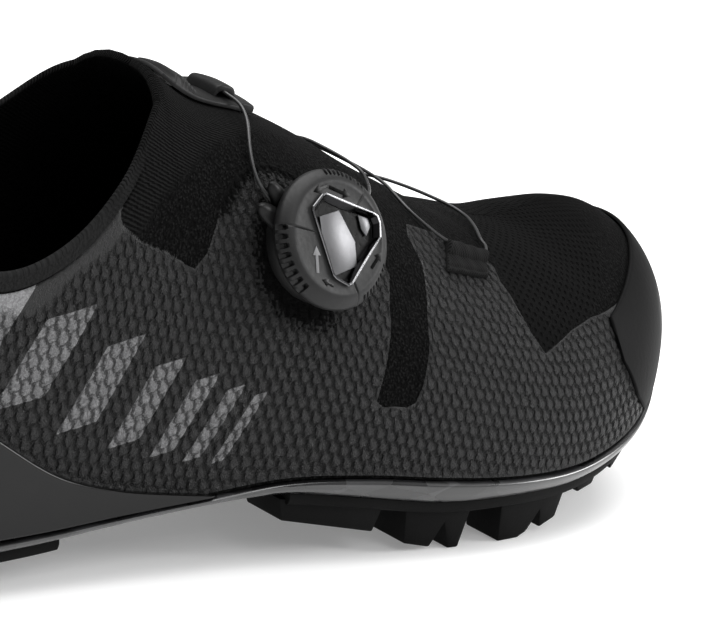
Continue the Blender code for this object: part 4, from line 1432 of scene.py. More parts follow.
@dataclass
class Mouldings:
    """The heel counter and the toe cap."""

    last: Last
    counter: float = 0.0014
    cap: float = 0.0008

    def build(self, maker: Maker) -> None:
        """Builds both."""
        maker.piece(self.heel().build(maker), Finishes.GLOSS, "heel_counter")
        self.toe(maker)

    def heel(self) -> Patch:
        """A cup round the heel with a tip along the arch on each side.

        Returns:
            The patch.
        """
        last = self.last
        end = float(last.turn(COUNTER_TOP[-1][0]))
        shares, heights = np.array(COUNTER_TOP).T

        def place(a: Array, b: Array) -> tuple[Array, Array]:
            """From the inside's tip round the heel to the outside's.

            Args:
                a: shares along the piece.
                b: shares across it.

            Returns:
                The places, p and w.
            """
            p = end * (2 * a - 1)
            top = smooth(last.turn(shares), heights * last.collar, np.abs(p))
            return p, 0.004 + (last.rise_at_height(p, lambda x: top) - 0.004) * b

        return Patch(last, "heel_counter_cup", place, (0.270, 0.035), (200, 26), last.fit,
                     last.fit + self.counter, 0.0012)

    def toe(self, maker: Maker) -> None:
        """Film over the toe whose front is rough.

        Args:
            maker: makes the pieces.
        """
        last = self.last
        start = float(last.turn(CAP_TOP[0][0]))

        def place(a: Array, b: Array) -> tuple[Array, Array]:
            """From the outside's end round the toe to the inside's.

            Args:
                a: shares along the piece.
                b: shares across it.

            Returns:
                The places, p and w.
            """
            p = start + (2 * np.pi - 2 * start) * a
            at = station(p)
            edge = [np.interp(at, *np.array(table).T) for table in (CAP_FOOT, CAP_TOP)]
            return p, edge[0] + (edge[1] - edge[0]) * b

        mesh = Patch(last, "toe_cap_film", place, (0.150, 0.030), (190, 40), last.fit,
                     last.fit + self.cap, 0.0006).build(maker)
        points = np.empty(3 * len(mesh.vertices))
        mesh.vertices.foreach_get("co", points)
        points = points.reshape(-1, 3)
        front = ease(0.112, 0.142, points[:, 0]) * ease(0.062, 0.045, points[:, 2])
        mesh.attributes["chart"].data.foreach_set("vector", np.stack([front, front, front], -1).ravel())
        maker.piece(mesh, Finishes.CAP, "toe_cap")


@dataclass
class Sole:
    """The carbon plate, the treads and the insole."""

    last: Last
    stations: int = 260
    flange: float = 0.0030
    tread: float = 0.0140
    lug_width: float = 0.0150
    lug_inset: float = 0.0030
    lug_draft: float = 0.12
    lug_flare: float = 0.012
    lug_round: float = 0.0005
    insole: float = 0.0030
    forefoot_span: tuple[float, float] = (0.489, 0.935)
    heel_span: tuple[float, float] = (0.012, 0.275)
    forefoot_lugs: tuple = (
        ((0.490, 0.74), (0.579, 0.44)),
        ((0.613, 0.17), (0.640, 0.06), (0.651, 0.50), (0.660, 0.00), (0.671, 0.00)),
        ((0.716, 0.00), (0.740, 0.00), (0.750, 0.09), (0.7625, 0.46), (0.767, 0.11), (0.787, 0.24)),
        ((0.815, 0.60), (0.838, 0.66)),
        ((0.872, 0.76), (0.893, 0.95)),
    )
    heel_lugs: tuple = (
        ((0.042, 0.16), (0.055, 0.00), (0.098, 0.00)),
        ((0.125, 0.00), (0.180, 0.00), (0.192, 0.08)),
    )

    def build(self, maker: Maker) -> None:
        """Builds the plate, both treads and the insole.

        Args:
            maker: makes the pieces.
        """
        self.plate(maker)
        self.treads(maker, "forefoot_tread", self.forefoot_span, self.forefoot_lugs, 150)
        self.treads(maker, "heel_tread", self.heel_span, self.heel_lugs, 90)
        floor = self.last.wall + self.last.gap
        inset = -(self.last.wall + 2 * self.last.gap)
        layers = ((inset - 0.0006, floor + self.insole), (inset, floor + 0.7 * self.insole), (inset, floor))
        mesh = self.deck(maker, "footbed", np.linspace(0, np.pi, 120), layers)
        maker.piece(mesh, Finishes.FOAM, "insole")

    def deck(self, maker: Maker, name: str, theta: Array, layers: tuple) -> Mesh:
        """A flat piece with the sole's outline.

        Args:
            maker: makes the grid.
            name: the mesh's name.
            theta: angles of its stations.
            layers: pushed out and up, from the top to the bottom.

        Returns:
            The mesh.
        """
        lines = [self.last.outline(theta, -1.0, out, up) for out, up in layers]
        lines += [self.last.outline(theta, 1.0, out, up) for out, up in reversed(layers)]
        lines.append(lines[0])
        points = np.stack(lines, 1)
        mesh, index = maker.mesh(name, len(theta) - 1, len(lines) - 1, thick=False)
        placed = points[index[:, 0], index[:, 1]]
        maker.write(mesh, placed, chart=placed / MM)
        close_ends(mesh)
        return mesh

    def plate(self, maker: Maker) -> None:
        """The carbon plate with a rounded lip.

        Args:
            maker: makes the pieces.
        """
        last = self.last
        share = np.linspace(0, 1, self.stations + 1)
        theta = np.pi * share
        under = last.plate_under(theta)
        layers = [(last.lip * 0.2, -last.gap)]
        for turn in np.linspace(np.radians(75), np.radians(-90), 9):
            out = last.lip * (np.clip(np.cos(turn), 0, 1) if turn > 0 else 1 - 2 * np.sin(turn) ** 2 * 0.9)
            up = -last.gap + (under + last.gap) * (0.22 - (0.22 if turn > 0 else 0.78) * np.sin(turn))
            layers.append((out, up))
        mesh = self.deck(maker, "carbon_plate", theta, tuple(layers))
        maker.piece(mesh, Finishes.CARBON, "outsole_plate")

    def treads(self, maker: Maker, name: str, span: tuple[float, float], lugs: tuple, stations: int) -> None:
        """A rubber flange with its lugs.

        Args:
            maker: makes the piece.
            name: the CAD node that it stands for.
            span: its ends, as stations.
            lugs: what each lug shows from the side.
            stations: parts along it.
        """
        last = self.last
        theta = np.linspace(float(last.turn(span[0])), float(last.turn(span[1])), stations)
        under = last.plate_under(theta) - last.gap
        inset = -(last.lip + last.gap)
        layers = ((inset, under), (inset + 0.0002, under - 0.4 * self.flange),
                  (inset - 0.1 * self.flange, under - 0.85 * self.flange),
                  (inset - 0.35 * self.flange, under - self.flange))
        mesh = self.deck(maker, name + "_rubber", theta, layers)
        bm = bmesh.new()
        bm.from_mesh(mesh)
        for foot in lugs:
            for side in (-1.0, 1.0):
                block = self.lug(foot, side)
                bm.from_mesh(block)
                bpy.data.meshes.remove(block)
        bm.to_mesh(mesh)
        bm.free()
        maker.piece(mesh, Finishes.RUBBER, name, sharp=35.0)

    def lug(self, foot: tuple, side: float) -> Mesh:
        """One lug with rounded edges, drawn from its side view.

        Args:
            foot: station and height of each corner below.
            side: -1 outside, 1 inside.

        Returns:
            The mesh.
        """
        last = self.last
        root = [(foot[0][0] - self.lug_flare / 2, None), *foot, (foot[-1][0] + self.lug_flare / 2, None)]
        bm = bmesh.new()
        outer, inner = [], []
        for share, height in root:
            theta = last.turn(share)
            edge = last.feather(theta, np.array(side)) + last.shift
            seat = edge[2] + float(last.plate_under(theta)) - last.gap - self.flange / 2
            z = seat if height is None else height * self.tread
            draft = self.lug_draft * (seat - z)
            out = edge[1] - side * (self.lug_inset + draft)
            outer.append(bm.verts.new((edge[0], out, z)))
            inner.append(bm.verts.new((edge[0], out - side * (self.lug_width - 2 * draft), z)))
        bm.faces.new(outer)
        bm.faces.new(inner)
        edges = [bm.edges.get(pair) for line in (outer, inner) for pair in zip(line, line[1:] + line[:1])]
        bmesh.ops.bridge_loops(bm, edges=edges)
        bmesh.ops.recalc_face_normals(bm, faces=bm.faces[:])
        bmesh.ops.bevel(bm, geom=bm.edges[:], offset=self.lug_round, offset_type="OFFSET", segments=2,
                        profile=0.5, affect="EDGES", clamp_overlap=True, material=-1)
        mesh = bpy.data.meshes.new("lug")
        bm.to_mesh(mesh)
        bm.free()
        return mesh


@dataclass
class Guides:
    """The strip with its bridge on the tongue, and the woven loops."""

    last: Last
    start_gap: float = 0.006
    end_at: float = 0.484
    strip: float = 0.0018
    step: float = 0.0012
    bridge_at: float = 0.4585
    bridge_length: float = 0.0070
    bridge_height: float = 0.0030
    bridge_wall: float = 0.0014
    webbing: float = 0.0011
    fold: float = 0.0024
    corners: tuple = (
        ("webbing_loop_lateral", ((0.649, 0.558), (0.700, 0.578), (0.716, 0.683), (0.668, 0.678))),
        ("webbing_loop_medial_rear", ((0.498, 1.52), (0.546, 1.52), (0.538, 1.40), (0.490, 1.40))),
        ("webbing_loop_medial_front", ((0.606, 1.50), (0.655, 1.50), (0.650, 1.39), (0.600, 1.39))),
    )

    def build(self, maker: Maker) -> None:
        """Builds the guides.

        Args:
            maker: makes the pieces.
        """
        self.tongue(maker)
        for name, corners in self.corners:
            self.loop(maker, name, corners)

    def tongue(self, maker: Maker) -> None:
        """The strip with two steps and a few grip ridges behind its bridge.

        Args:
            maker: makes the pieces.
        """
        last = self.last
        front = station(last.front)
        layer = last.fit + 0.55 * self.strip
        start, end = float(last.turn(self.start_gap + front)), float(last.turn(self.end_at))

        def place(a: Array, b: Array) -> tuple[Array, Array]:
            """Along the ridge, and across it."""
            half = np.interp(a, (0.0, 0.13, 0.35, 0.65, 0.92, 1.0), (0.110, 0.125, 0.130, 0.125, 0.120, 0.115))
            return start + (end - start) * a, 1 + half * (2 * b - 1)

        def high(a: Array, b: Array) -> Array:
            """Top of the strip: a step in from the rear end, then low ridges.

            Args:
                a: shares along the piece.
                b: shares across it.

            Returns:
                Heights over the last.
            """
            inner = ease(0.5, 0.38, np.abs(b - 0.5))
            raised = ease(0.115, 0.135, a) * ease(0.48, 0.20, a)
            ridges = 0.00022 * np.sin(a * 150.0) * ease(0.16, 0.20, a) * ease(0.46, 0.38, a)
            front_block = ease(0.84, 0.87, a) * 0.55 * self.strip
            return layer + front_block + ((0.9 * self.strip + self.step) * raised * 0.62 + ridges) * inner

        strip = Patch(last, "tongue_strip", place, (0.0285, 0.021), (170, 44), last.fit, high, 0.0005).build(maker)
        middle = float(last.turn(self.bridge_at))
        run = last.length * np.sin(middle) / 2
        across = 0.075

        def over(a: Array, b: Array) -> tuple[Array, Array]:
            """Along the bridge, and across it."""
            return middle + self.bridge_length * (a - 0.5) / run, 1 + across * (2 * b - 1)

        def arch(a: Array, low: float, top: float, foot: float) -> Array:
            """Height of a curve that rises between two feet."""
            return low + (top - low) * np.clip(1 - np.abs(2 * a - 1) ** foot, 0, 1) ** 0.5

        crown = layer + self.bridge_height
        root = last.fit + 0.3 * self.strip
        bridge = Patch(last, "bridge", over, (self.bridge_length, 0.012), (40, 16),
                       lambda a, b: np.where((a > 0.13) & (a < 0.87),
                                             arch((a - 0.13) / 0.74, root, crown - self.bridge_wall, 4.0), root),
                       lambda a, b: arch(a, root, crown, 3.6), 0.0005).build(maker)
        joined = bmesh.new()
        for part in (strip, bridge):
            joined.from_mesh(part)
        joined.to_mesh(strip)
        joined.free()
        bpy.data.meshes.remove(bridge)
        maker.piece(strip, Finishes.PLASTIC, "tongue_guide")

    def loop(self, maker: Maker, name: str, corners: tuple) -> None:
        """A strip that is sewn down at its lower edge and folded over the lace at its upper one.

        Args:
            maker: makes the pieces.
            name: the CAD node that it stands for.
            corners: its four corners, station and rise.
        """
        last = self.last
        c0, c1, c2, c3 = np.array(corners)

        def place(a: Array, b: Array) -> tuple[Array, Array]:
            """From the lower edge's rear end."""
            at, rise = ((c0[k] * (1 - a) + c1[k] * a) * (1 - b) + (c3[k] * (1 - a) + c2[k] * a) * b
                        for k in (0, 1))
            return last.turn(at), rise

        def high(a: Array, b: Array) -> Array:
            """Thin where it is sewn, thick at the fold.

            Args:
                a: shares along the piece.
                b: shares across it.

            Returns:
                Heights over the last.
            """
            fold = np.clip((b - 0.50) / 0.50, 0, 1)
            seam = 0.00035 * np.exp(-((b - 0.14) / 0.05) ** 2) + 0.00025 * np.exp(-((a - 0.06) / 0.05) ** 2)
            rise = (self.fold - self.webbing) * np.sin(np.pi * fold) ** 0.7
            return last.fit + self.webbing + rise - seam + 0.00012 * np.sin(a * 21.0 + b * 9.0)

        mesh = Patch(last, name + "_weave", place, (0.0128, 0.0075), (48, 36), last.fit, high, 0.0004).build(maker)
        maker.piece(mesh, Finishes.WEBBING, name)


@dataclass
class Lace:
    """One thin lace from the dial over the instep and back, through every guide."""

    last: Last
    radius: float = 0.00043
    unit: float = 0.0012
    sides: int = 10
    per_knot: int = 14
    # Station, rise and height of the lace's middle, in units of the solid lace's thickness
    first: tuple = (
        (0.484, 0.520, 2.6), (0.462, 0.550, 2.3), (0.448, 0.600, 1.5), (0.446, 0.655, 0.95), (0.450, 0.720, 0.90),
        (0.458, 0.800, 1.5), (0.461, 0.860, 2.1), (0.457, 0.915, 2.4), (0.454, 1.000, 2.4), (0.453, 1.095, 2.4),
        (0.456, 1.155, 2.3), (0.462, 1.210, 1.8), (0.470, 1.280, 1.0), (0.482, 1.370, 0.95),
        (0.498, 1.425, 1.3), (0.520, 1.435, 1.3), (0.538, 1.415, 1.2),
        (0.548, 1.385, 0.80), (0.562, 1.250, 0.62), (0.584, 1.120, 0.60), (0.602, 1.020, 0.60), (0.614, 0.972, 0.75),
        (0.631, 0.938, 0.95), (0.643, 0.890, 0.90), (0.641, 0.822, 0.75), (0.643, 0.757, 0.75), (0.655, 0.700, 1.0),
        (0.672, 0.662, 1.2), (0.692, 0.655, 1.2), (0.712, 0.668, 1.2),
        (0.723, 0.706, 1.1), (0.728, 0.750, 0.80), (0.740, 0.820, 0.80), (0.752, 0.905, 1.0), (0.748, 0.975, 1.6),
        (0.726, 1.050, 2.1), (0.700, 1.120, 1.9), (0.678, 1.220, 1.0), (0.660, 1.345, 0.95),
        (0.650, 1.405, 1.3), (0.627, 1.425, 1.3),
        (0.604, 1.410, 1.2), (0.592, 1.375, 0.95), (0.588, 1.250, 0.62), (0.588, 1.120, 0.60), (0.586, 1.020, 0.60),
        (0.586, 0.965, 0.65), (0.591, 0.930, 0.85), (0.600, 0.895, 1.10), (0.606, 0.855, 1.15), (0.600, 0.800, 1.0),
        (0.588, 0.735, 1.2), (0.572, 0.680, 2.0), (0.556, 0.630, 2.4), (0.540, 0.590, 2.6),
    )

    def build(self, maker: Maker) -> None:
        """Sweeps a ring of points along the lace's line.

        Args:
            maker: makes the pieces.
        """
        last = self.last
        rows = np.array(self.first)
        knots = np.arange(len(rows), dtype=float)
        count = self.per_knot * (len(rows) - 1)
        t = np.linspace(0, knots[-1], count + 1)
        at, rise, height = (smooth(knots, column, t) for column in rows.T)
        line = last.over(last.turn(at), rise, height * self.unit)
        for _ in range(6):
            line[1:-1] = 0.25 * line[:-2] + 0.5 * line[1:-1] + 0.25 * line[2:]
        run = unit(np.gradient(line, axis=0))
        up = np.empty_like(run)
        up[0] = unit(np.cross(run[0], (0.3, 0.4, 0.9)))
        for k in range(1, len(run)):
            up[k] = unit(up[k - 1] - run[k] * (up[k - 1] @ run[k]))
        beside = np.cross(run, up)
        mesh, index = maker.mesh("lace", count, self.sides, thick=False)
        k, turn = index[:, 0], 2 * np.pi * index[:, 1] / self.sides
        points = line[k] + self.radius * (np.cos(turn)[:, None] * up[k] + np.sin(turn)[:, None] * beside[k])
        length = np.concatenate([[0.0], np.cumsum(np.linalg.norm(np.diff(line, axis=0), axis=1))]) / MM
        LOG.info("lace length: %.0f mm", length[-1])
        maker.write(mesh, points, chart=np.stack([length[k], turn, 0 * turn], -1))
        close_ends(mesh)
        maker.piece(mesh, Finishes.WIRE, "lace_dial_to_tongue", "lace_tongue_to_medial", "lace_crossing",
                    "lace_toe")


@dataclass
class Dial:
    """The lace dial: a toothed knob with a framed window, on a base with two ears."""

    last: Last
    width: float = 0.033
    base_width: float = 0.029
    seat: float = 0.0034
    wall: float = 0.0028
    moved: tuple[float, float] = (-0.0006, 0.0014)  # forwards and up from the solid dial's axis
    bevel: float = 0.0018
    face: float = 0.0262
    recess: float = 0.0012
    at: tuple[float, float] = DIAL_AT
    turn: float = np.radians(3.5)
    rise: float = np.radians(24.5)
    around: int = 720
    window: tuple = ((-0.215, 0.215), (-0.205, 0.240), (-0.100, 0.318), (-0.065, 0.325), (0.350, 0.150),
                     (0.385, 0.125), (0.397, 0.075), (0.380, -0.030), (0.272, -0.127), (0.045, -0.335),
                     (0.010, -0.345), (-0.095, -0.285), (-0.120, -0.255))
    plates: tuple = (
        ("dial_plate_rear", ((-0.130, 0.165), (0.055, 0.195), (0.160, -0.040), (0.140, -0.210), (-0.070, -0.255),
                             (-0.140, -0.110))),
        ("dial_plate_front", ((0.225, 0.145), (0.310, 0.115), (0.325, 0.055), (0.270, -0.010), (0.235, 0.045))),
    )
    # Notches in the rim: first and last direction in degrees, how many, depth in metres
    teeth: tuple = ((161.0, 225.0, 8, 0.00100), (45.0, 92.0, 10, 0.00070), (-70.0, -27.0, 9, 0.00070))
    # Arrows: tail, tip and width in metres on the face, pale or dark
    arrows: tuple = (
        ((-0.0010, 0.0122), (-0.0054, 0.0112), 0.0019, False),
        ((-0.0004, 0.0119), (0.0056, 0.0092), 0.0019, False),
        ((-0.0080, -0.0074), (-0.0072, -0.0012), 0.0019, True),
        ((-0.0038, -0.0108), (-0.0070, -0.0090), 0.0016, False),
        ((0.0086, -0.0078), (0.0124, -0.0044), 0.0018, False),
    )

    def __post_init__(self) -> None:
        """Finds the dial's frame."""
        axis = np.array((np.cos(self.rise) * np.sin(self.turn), -np.cos(self.rise) * np.cos(self.turn),
                         np.sin(self.rise)))
        forward = unit(np.cross((0.0, 0.0, 1.0), axis))
        self.axes = np.stack([forward, np.cross(axis, forward), axis])
        self.origin = self.last.skin(self.last.turn(self.at[0]), self.at[1])
        self.origin = self.origin + np.array((*self.moved, 0.0)) @ self.axes
        self.top = self.seat + self.last.gap + self.wall + self.bevel
        self.turns = 2 * np.pi * np.arange(self.around + 1) / self.around

    def placed(self, points: Array) -> Array:
        """From forwards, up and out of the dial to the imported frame."""
        return self.origin + points @ self.axes

    def build(self, maker: Maker) -> None:
        """Builds the dial's pieces.

        Args:
            maker: makes the pieces.
        """
        self.base(maker)
        self.knob(maker)
        self.frame(maker)
        for name, outline in self.plates:
            self.slab(maker, name, np.array(outline) * self.width, self.top - self.recess + 0.0003,
                      0.0004, Finishes.PLATE, name)
        for number, (tail, tip, width, pale) in enumerate(self.arrows):
            self.arrow(maker, number, np.array(tail), np.array(tip), width, pale)

    def window_reach(self, turn: Array, corners: Array) -> Array:
        """How far a polygon round the axis reaches in each direction.

        Args:
            turn: the directions.
            corners: the polygon's, in order.

        Returns:
            The distances.
        """
        direction = np.stack([np.cos(turn), np.sin(turn)], -1)
        best = np.full(turn.shape, np.inf)
        for start, end in zip(corners, np.roll(corners, -1, axis=0)):
            run = end - start
            cross = direction[..., 0] * run[1] - direction[..., 1] * run[0]
            cross = np.where(np.abs(cross) < 1e-12, 1e-12, cross)
            reach = (start[0] * run[1] - start[1] * run[0]) / cross
            share = (start[0] * direction[..., 1] - start[1] * direction[..., 0]) / cross
            best = np.where((share >= -1e-9) & (share <= 1 + 1e-9) & (reach > 0), np.minimum(best, reach), best)
        return best

    def rings(self, maker: Maker, name: str, rows: list[tuple[Array, Array]]) -> Mesh:
        """A closed piece from rings of radius and height, filled at both ends.

        Args:
            maker: makes the grid.
            name: the mesh's name.
            rows: radius and height of each ring, an array each or a number.

        Returns:
            The mesh.
        """
        mesh, index = maker.mesh(name, self.around, len(rows) - 1, thick=False)
        turn = self.turns
        radius = np.stack([np.broadcast_to(r, turn.shape) for r, _ in rows])
        height = np.stack([np.broadcast_to(h, turn.shape) for _, h in rows])
        k, row = index[:, 0], index[:, 1]
        r, t = radius[row, k], turn[k]
        points = self.placed(np.stack([r * np.cos(t), r * np.sin(t), height[row, k]], -1))
        maker.write(mesh, points, chart=np.stack([r * np.cos(t) / MM, r * np.sin(t) / MM, height[row, k] / MM], -1))
        close_ends(mesh)
        return mesh

    def notch(self, turn: Array) -> Array:
        """Depth of the teeth's notches round the rim, in metres.

        Args:
            turn: directions round the axis.

        Returns:
            The depths.
        """
        degrees = np.degrees(turn)
        depth = np.zeros_like(turn)
        for start, end, count, deep in self.teeth:
            away = np.mod(degrees - start + 180.0, 360.0) - 180.0
            pitch = (end - start) / count
            wave = 0.5 - 0.5 * np.cos(2 * np.pi * away / pitch)
            depth += np.where((away > 0) & (away < end - start), deep * ease(0.35, 0.65, wave), 0.0)
        return depth

    def seam(self, turn: Array) -> Array:
        """Depth of the thin seams that part the face into sectors.

        Args:
            turn: directions round the axis.

        Returns:
            The depths.
        """
        depth = np.zeros_like(turn)
        for degrees in (163.0, -76.0, 44.0):
            away = np.mod(np.degrees(turn) - degrees + 180.0, 360.0) - 180.0
            depth += 0.00030 * np.exp(-(away / 0.9) ** 2)
        return depth

    def knob(self, maker: Maker) -> None:
        """The knob: wall, toothed bevel, dished face and the window's recess.

        Args:
            maker: makes the pieces.
        """
        turn = self.turns
        corners = np.array(self.window) * self.width
        opening = self.window_reach(turn, corners) - 0.0004
        notch, seam = self.notch(turn), self.seam(turn)
        edge, face = self.width / 2, self.face / 2
        low, top = self.seat + self.last.gap, self.top
        shoulder = low + self.wall
        rows = [(0.86 * edge, low), (0.92 * edge, low), (0.965 * edge, low + 0.10 * self.wall),
                (0.99 * edge, low + 0.30 * self.wall), (edge, low + 0.55 * self.wall),
                (0.997 * edge - 0.6 * notch, low + 0.80 * self.wall), (0.985 * edge - 0.9 * notch, shoulder)]
        for share in (0.08, 0.16, 0.24, 0.32, 0.40, 0.50, 0.56, 0.64, 0.74, 0.88):
            reach = 0.985 * edge + (face - 0.985 * edge) * share
            height = shoulder + self.bevel * (1 - (1 - share) ** 1.7)
            cut = notch * ease(0.45, 0.30, share)
            rows.append((reach - 0.9 * cut, height - 1.1 * cut - 0.6 * seam))
        rows.append((face, top - seam))
        for share in (0.10, 0.35, 0.65, 0.90, 0.97):
            reach = face + (opening - face) * share
            rows.append((reach, top - seam * (share < 0.9) - 0.00012 * np.sin(np.pi * share)))
        rows += [(opening, top - 0.00005), (opening - 0.00015, top - 0.0002), (opening - 0.0003, top - self.recess),
                 (0.5 * opening, top - self.recess), (0.05 * opening, top - self.recess)]
        maker.piece(self.rings(maker, "dial_grip", rows), Finishes.DIAL, "dial_knob", sharp=32.0)
        pad = [(0.97 * opening, top - self.recess + 0.00005), (0.97 * opening, top - self.recess + 0.00015),
               (0.02 * opening, top - self.recess + 0.00015)]
        maker.piece(self.rings(maker, "dial_window_floor", pad), Finishes.RECESS)

    def frame(self, maker: Maker) -> None:
        """The polished frame round the window, with a wide slope on its inner side.

        Args:
            maker: makes the pieces.
        """
        turn = self.turns
        outer = self.window_reach(turn, np.array(self.window) * self.width)
        top, deep = self.top + self.last.gap, self.top - self.recess
        slope = 0.0013 * (0.8 + 0.2 * np.cos(turn - 2.2))
        rows = [(outer - 0.0001, top), (outer, top + 0.00020), (outer - 0.00012, top + 0.00040),
                (outer - 0.00050, top + 0.00045), (outer - 0.00062, top + 0.00030), (outer - 0.0006, top - 0.0004)]
        rows.append(rows[0])
        maker.piece(self.rings(maker, "dial_frame", rows), Finishes.POLISH, "dial_ring", sharp=22.0)
        rows = [(outer - 0.00062, top + 0.00020), (outer - 0.00062 - slope, deep + 0.00035),
                (outer - 0.00067 - slope, deep + 0.00018), (outer - 0.00062, top - 0.0004)]
        rows.append(rows[0])
        maker.piece(self.rings(maker, "dial_frame_slope", rows), Finishes.SLOPE, sharp=22.0)

    def slab(self, maker: Maker, name: str, outline: Array, height: float, thick: float, finish: Finishes,
             *replaced: str) -> None:
        """A flat piece parallel to the face, with bevelled edges.

        Args:
            maker: makes the pieces.
            name: what the mesh's name starts with.
            outline: its corners on the face.
            height: of its underside over the last.
            thick: its thickness.
            finish: its surface.
            replaced: the CAD node that it stands for.
        """
        bm = bmesh.new()
        face = bm.faces.new([bm.verts.new((x, y, height)) for x, y in outline])
        grown = bmesh.ops.extrude_face_region(bm, geom=[face])
        raised = [part for part in grown["geom"] if isinstance(part, bmesh.types.BMVert)]
        bmesh.ops.translate(bm, verts=raised, vec=(0.0, 0.0, thick))
        bmesh.ops.recalc_face_normals(bm, faces=bm.faces[:])
        bmesh.ops.bevel(bm, geom=bm.edges[:], offset=0.3 * thick, offset_type="OFFSET", segments=2, profile=0.5,
                        affect="EDGES", clamp_overlap=True, material=-1)
        mesh = bpy.data.meshes.new(name + "_panel")
        bm.to_mesh(mesh)
        bm.free()
        flat = np.array([vert.co[:] for vert in mesh.vertices])
        maker.write(mesh, self.placed(flat), chart=flat / MM)
        maker.piece(mesh, finish, *replaced)

    def arrow(self, maker: Maker, number: int, tail: Array, tip: Array, width: float, pale: bool) -> None:
        """A small printed arrow on the face.

        Args:
            maker: makes the pieces.
            number: its place in the list.
            tail: where it starts.
            tip: where it points.
            width: of its head.
            pale: the light print.
        """
        run = unit(tip - tail)
        side = np.array((-run[1], run[0]))
        neck = tip - run * 1.15 * width
        outline = np.array([tail - 0.22 * width * side, neck - 0.22 * width * side, neck - 0.62 * width * side, tip,
                            neck + 0.62 * width * side, neck + 0.22 * width * side, tail + 0.22 * width * side])
        finish = Finishes.PLASTIC_PALE if pale else Finishes.RECESS
        self.slab(maker, f"dial_arrow_{number}", outline, self.top - 0.00012, 0.00016, finish)

    def base(self, maker: Maker) -> None:
        """The base dish under the knob, with a pair of ears where each end of the lace goes in.

        Args:
            maker: makes the pieces.
        """
        edge, low = self.base_width / 2, -0.0030
        seat = self.seat
        rows = [(0.55 * edge, low), (0.98 * edge, low), (1.00 * edge, low + 0.0012), (0.97 * edge, 0.3 * seat),
                (0.93 * edge, 0.62 * seat), (0.92 * edge, 0.8 * seat), (0.92 * edge, seat), (0.88 * edge, seat),
                (0.05 * edge, seat)]
        mesh = self.rings(maker, "dial_dish", rows)
        bm = bmesh.new()
        bm.from_mesh(mesh)
        for degrees, lengths in ((135.0, (0.0076, 0.0052)), (153.0, (0.0082, 0.0052)), (22.0, (0.0040, 0.0060))):
            ear = self.ear(maker, np.radians(degrees), *lengths)
            bm.from_mesh(ear)
            bpy.data.meshes.remove(ear)
        bm.to_mesh(mesh)
        bm.free()
        maker.piece(mesh, Finishes.PLASTIC, "dial_base", sharp=50.0)

    def ear(self, maker: Maker, turn: float, length: float, width: float) -> Mesh:
        """A petal that leans out of the base and narrows to a point.

        Args:
            maker: makes the grid.
            turn: its direction.
            length: out of the base.
            width: at its root.

        Returns:
            The mesh.
        """
        mesh, index = maker.mesh("ear", 24, 20, thick=False)
        a, b = index[:, 0] / 24, 2 * np.pi * index[:, 1] / 20
        start = 0.90 * self.base_width / 2
        half = width / 2 * np.sqrt(np.clip(1 - a ** 2.2, 0.0, 1))
        thick = 0.0014 * np.sqrt(np.clip(1 - a ** 3, 0.0, 1)) + 0.0001
        out = start + length * a
        beside = half * np.cos(b)
        height = 0.0022 + 0.0022 * a - 0.0006 * (np.cos(b) ** 2) + thick * np.sin(b)
        x = out * np.cos(turn) - beside * np.sin(turn)
        y = out * np.sin(turn) + beside * np.cos(turn)
        points = self.placed(np.stack([x, y, height], -1))
        maker.write(mesh, points, chart=np.stack([x, y, height], -1) / MM)
        close_ends(mesh)
        return mesh


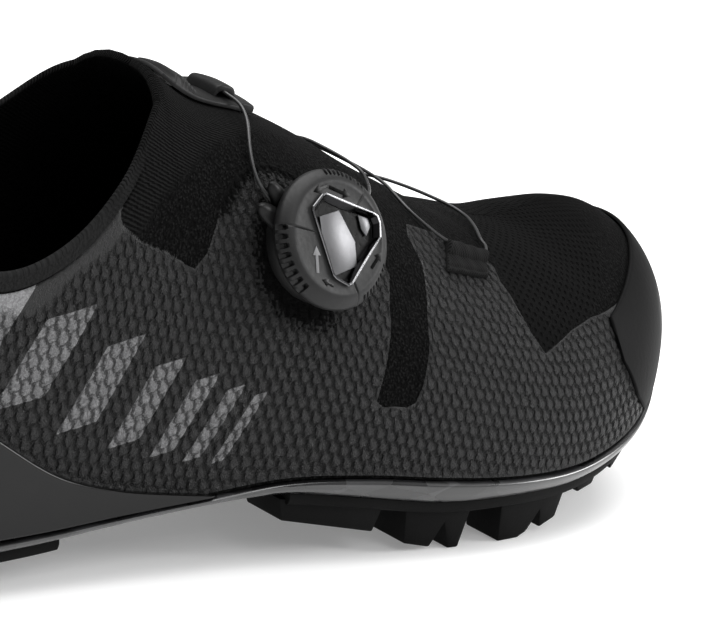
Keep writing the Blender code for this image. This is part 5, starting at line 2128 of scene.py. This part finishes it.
@dataclass
class Studio:
    """Pale floor, soft light and the camera."""

    aim: Array = field(default_factory=lambda: np.array((0.0109, -0.0209, 0.060)))
    back: Array = field(default_factory=lambda: np.array((-0.6150, -0.7382, 0.2773)))
    right: Array = field(default_factory=lambda: np.array((0.7849, -0.6068, 0.1254)))
    up: Array = field(default_factory=lambda: np.array((0.0757, 0.2947, 0.9527)))
    distance: float = 0.984
    lens: float = 208.7

    def build(self) -> None:
        """Sets the floor, the lights, the sky and the camera."""
        self.floor()
        self.lights()
        self.camera()

    def floor(self) -> None:
        """A wide pale plane under the shoe."""
        bm = bmesh.new()
        bmesh.ops.create_grid(bm, x_segments=1, y_segments=1, size=6.0)
        mesh = bpy.data.meshes.new("floor")
        bm.to_mesh(mesh)
        bm.free()
        n = Nodes("pale_floor", (0.86, 0.86, 0.86), 0.9)
        n.set(**{"Specular IOR Level": 0.1, "Emission Color": (1.0, 1.0, 1.0, 1.0), "Emission Strength": 0.22})
        mesh.materials.append(n.finish())
        floor = bpy.data.objects.new("floor", mesh)
        bpy.context.scene.collection.objects.link(floor)

    def lights(self) -> None:
        """Large soft lights and a white sky."""
        world = bpy.data.worlds.new("studio")
        world.use_nodes = True
        sky = world.node_tree.nodes["Background"]
        sky.inputs[0].default_value = (1.0, 1.0, 1.0, 1.0)
        sky.inputs[1].default_value = 0.35
        bpy.context.scene.world = world
        for name, place, size, power in (
            ("overhead", (0.2, 0.3, 2.2), 2.4, 82.0),
            ("side", (0.15, -1.6, 1.5), 0.8, 7.0),
            ("toe", (1.70, -0.85, 0.75), 0.7, 22.0),
        ):
            light = bpy.data.lights.new(name, "AREA")
            light.shape = "SQUARE"
            light.size = size
            light.energy = power
            lamp = bpy.data.objects.new(name, light)
            lamp.location = place
            lamp.rotation_mode = "QUATERNION"
            lamp.rotation_quaternion = (Vector(self.aim) - lamp.location).to_track_quat("-Z", "Y")
            bpy.context.scene.collection.objects.link(lamp)

    def camera(self) -> None:
        """The photograph's view, rolled as it is."""
        data = bpy.data.cameras.new("camera")
        data.sensor_width = 36.0
        data.lens = self.lens
        data.clip_start, data.clip_end = 0.05, 30.0
        place = Vector(self.aim + self.back * self.distance)
        look = Vector(self.aim + self.right * 0.0127 - self.up * 0.0059)
        away = (place - look).normalized()
        right = Vector(self.right)
        right = (right - away * right.dot(away)).normalized()
        turn = Matrix((right, away.cross(right), away)).transposed()
        camera = bpy.data.objects.new("camera", data)
        camera.matrix_world = Matrix.Translation(place) @ turn.to_4x4()
        bpy.context.scene.collection.objects.link(camera)
        bpy.context.scene.camera = camera
        bpy.context.scene.view_settings.view_transform = "Standard"


def main() -> None:
    """Builds the shoe in order, and the studio round it."""
    logging.basicConfig(level=logging.INFO, format="%(message)s")
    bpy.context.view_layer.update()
    last = Last()
    maker = Maker()
    Upper(last).build(maker)
    Mouldings(last).build(maker)
    Sole(last).build(maker)
    Guides(last).build(maker)
    Lace(last).build(maker)
    Dial(last).build(maker)
    Studio().build()
    LOG.info("all pieces: %d triangles", maker.triangles)


if __name__ == "__main__":
    main()
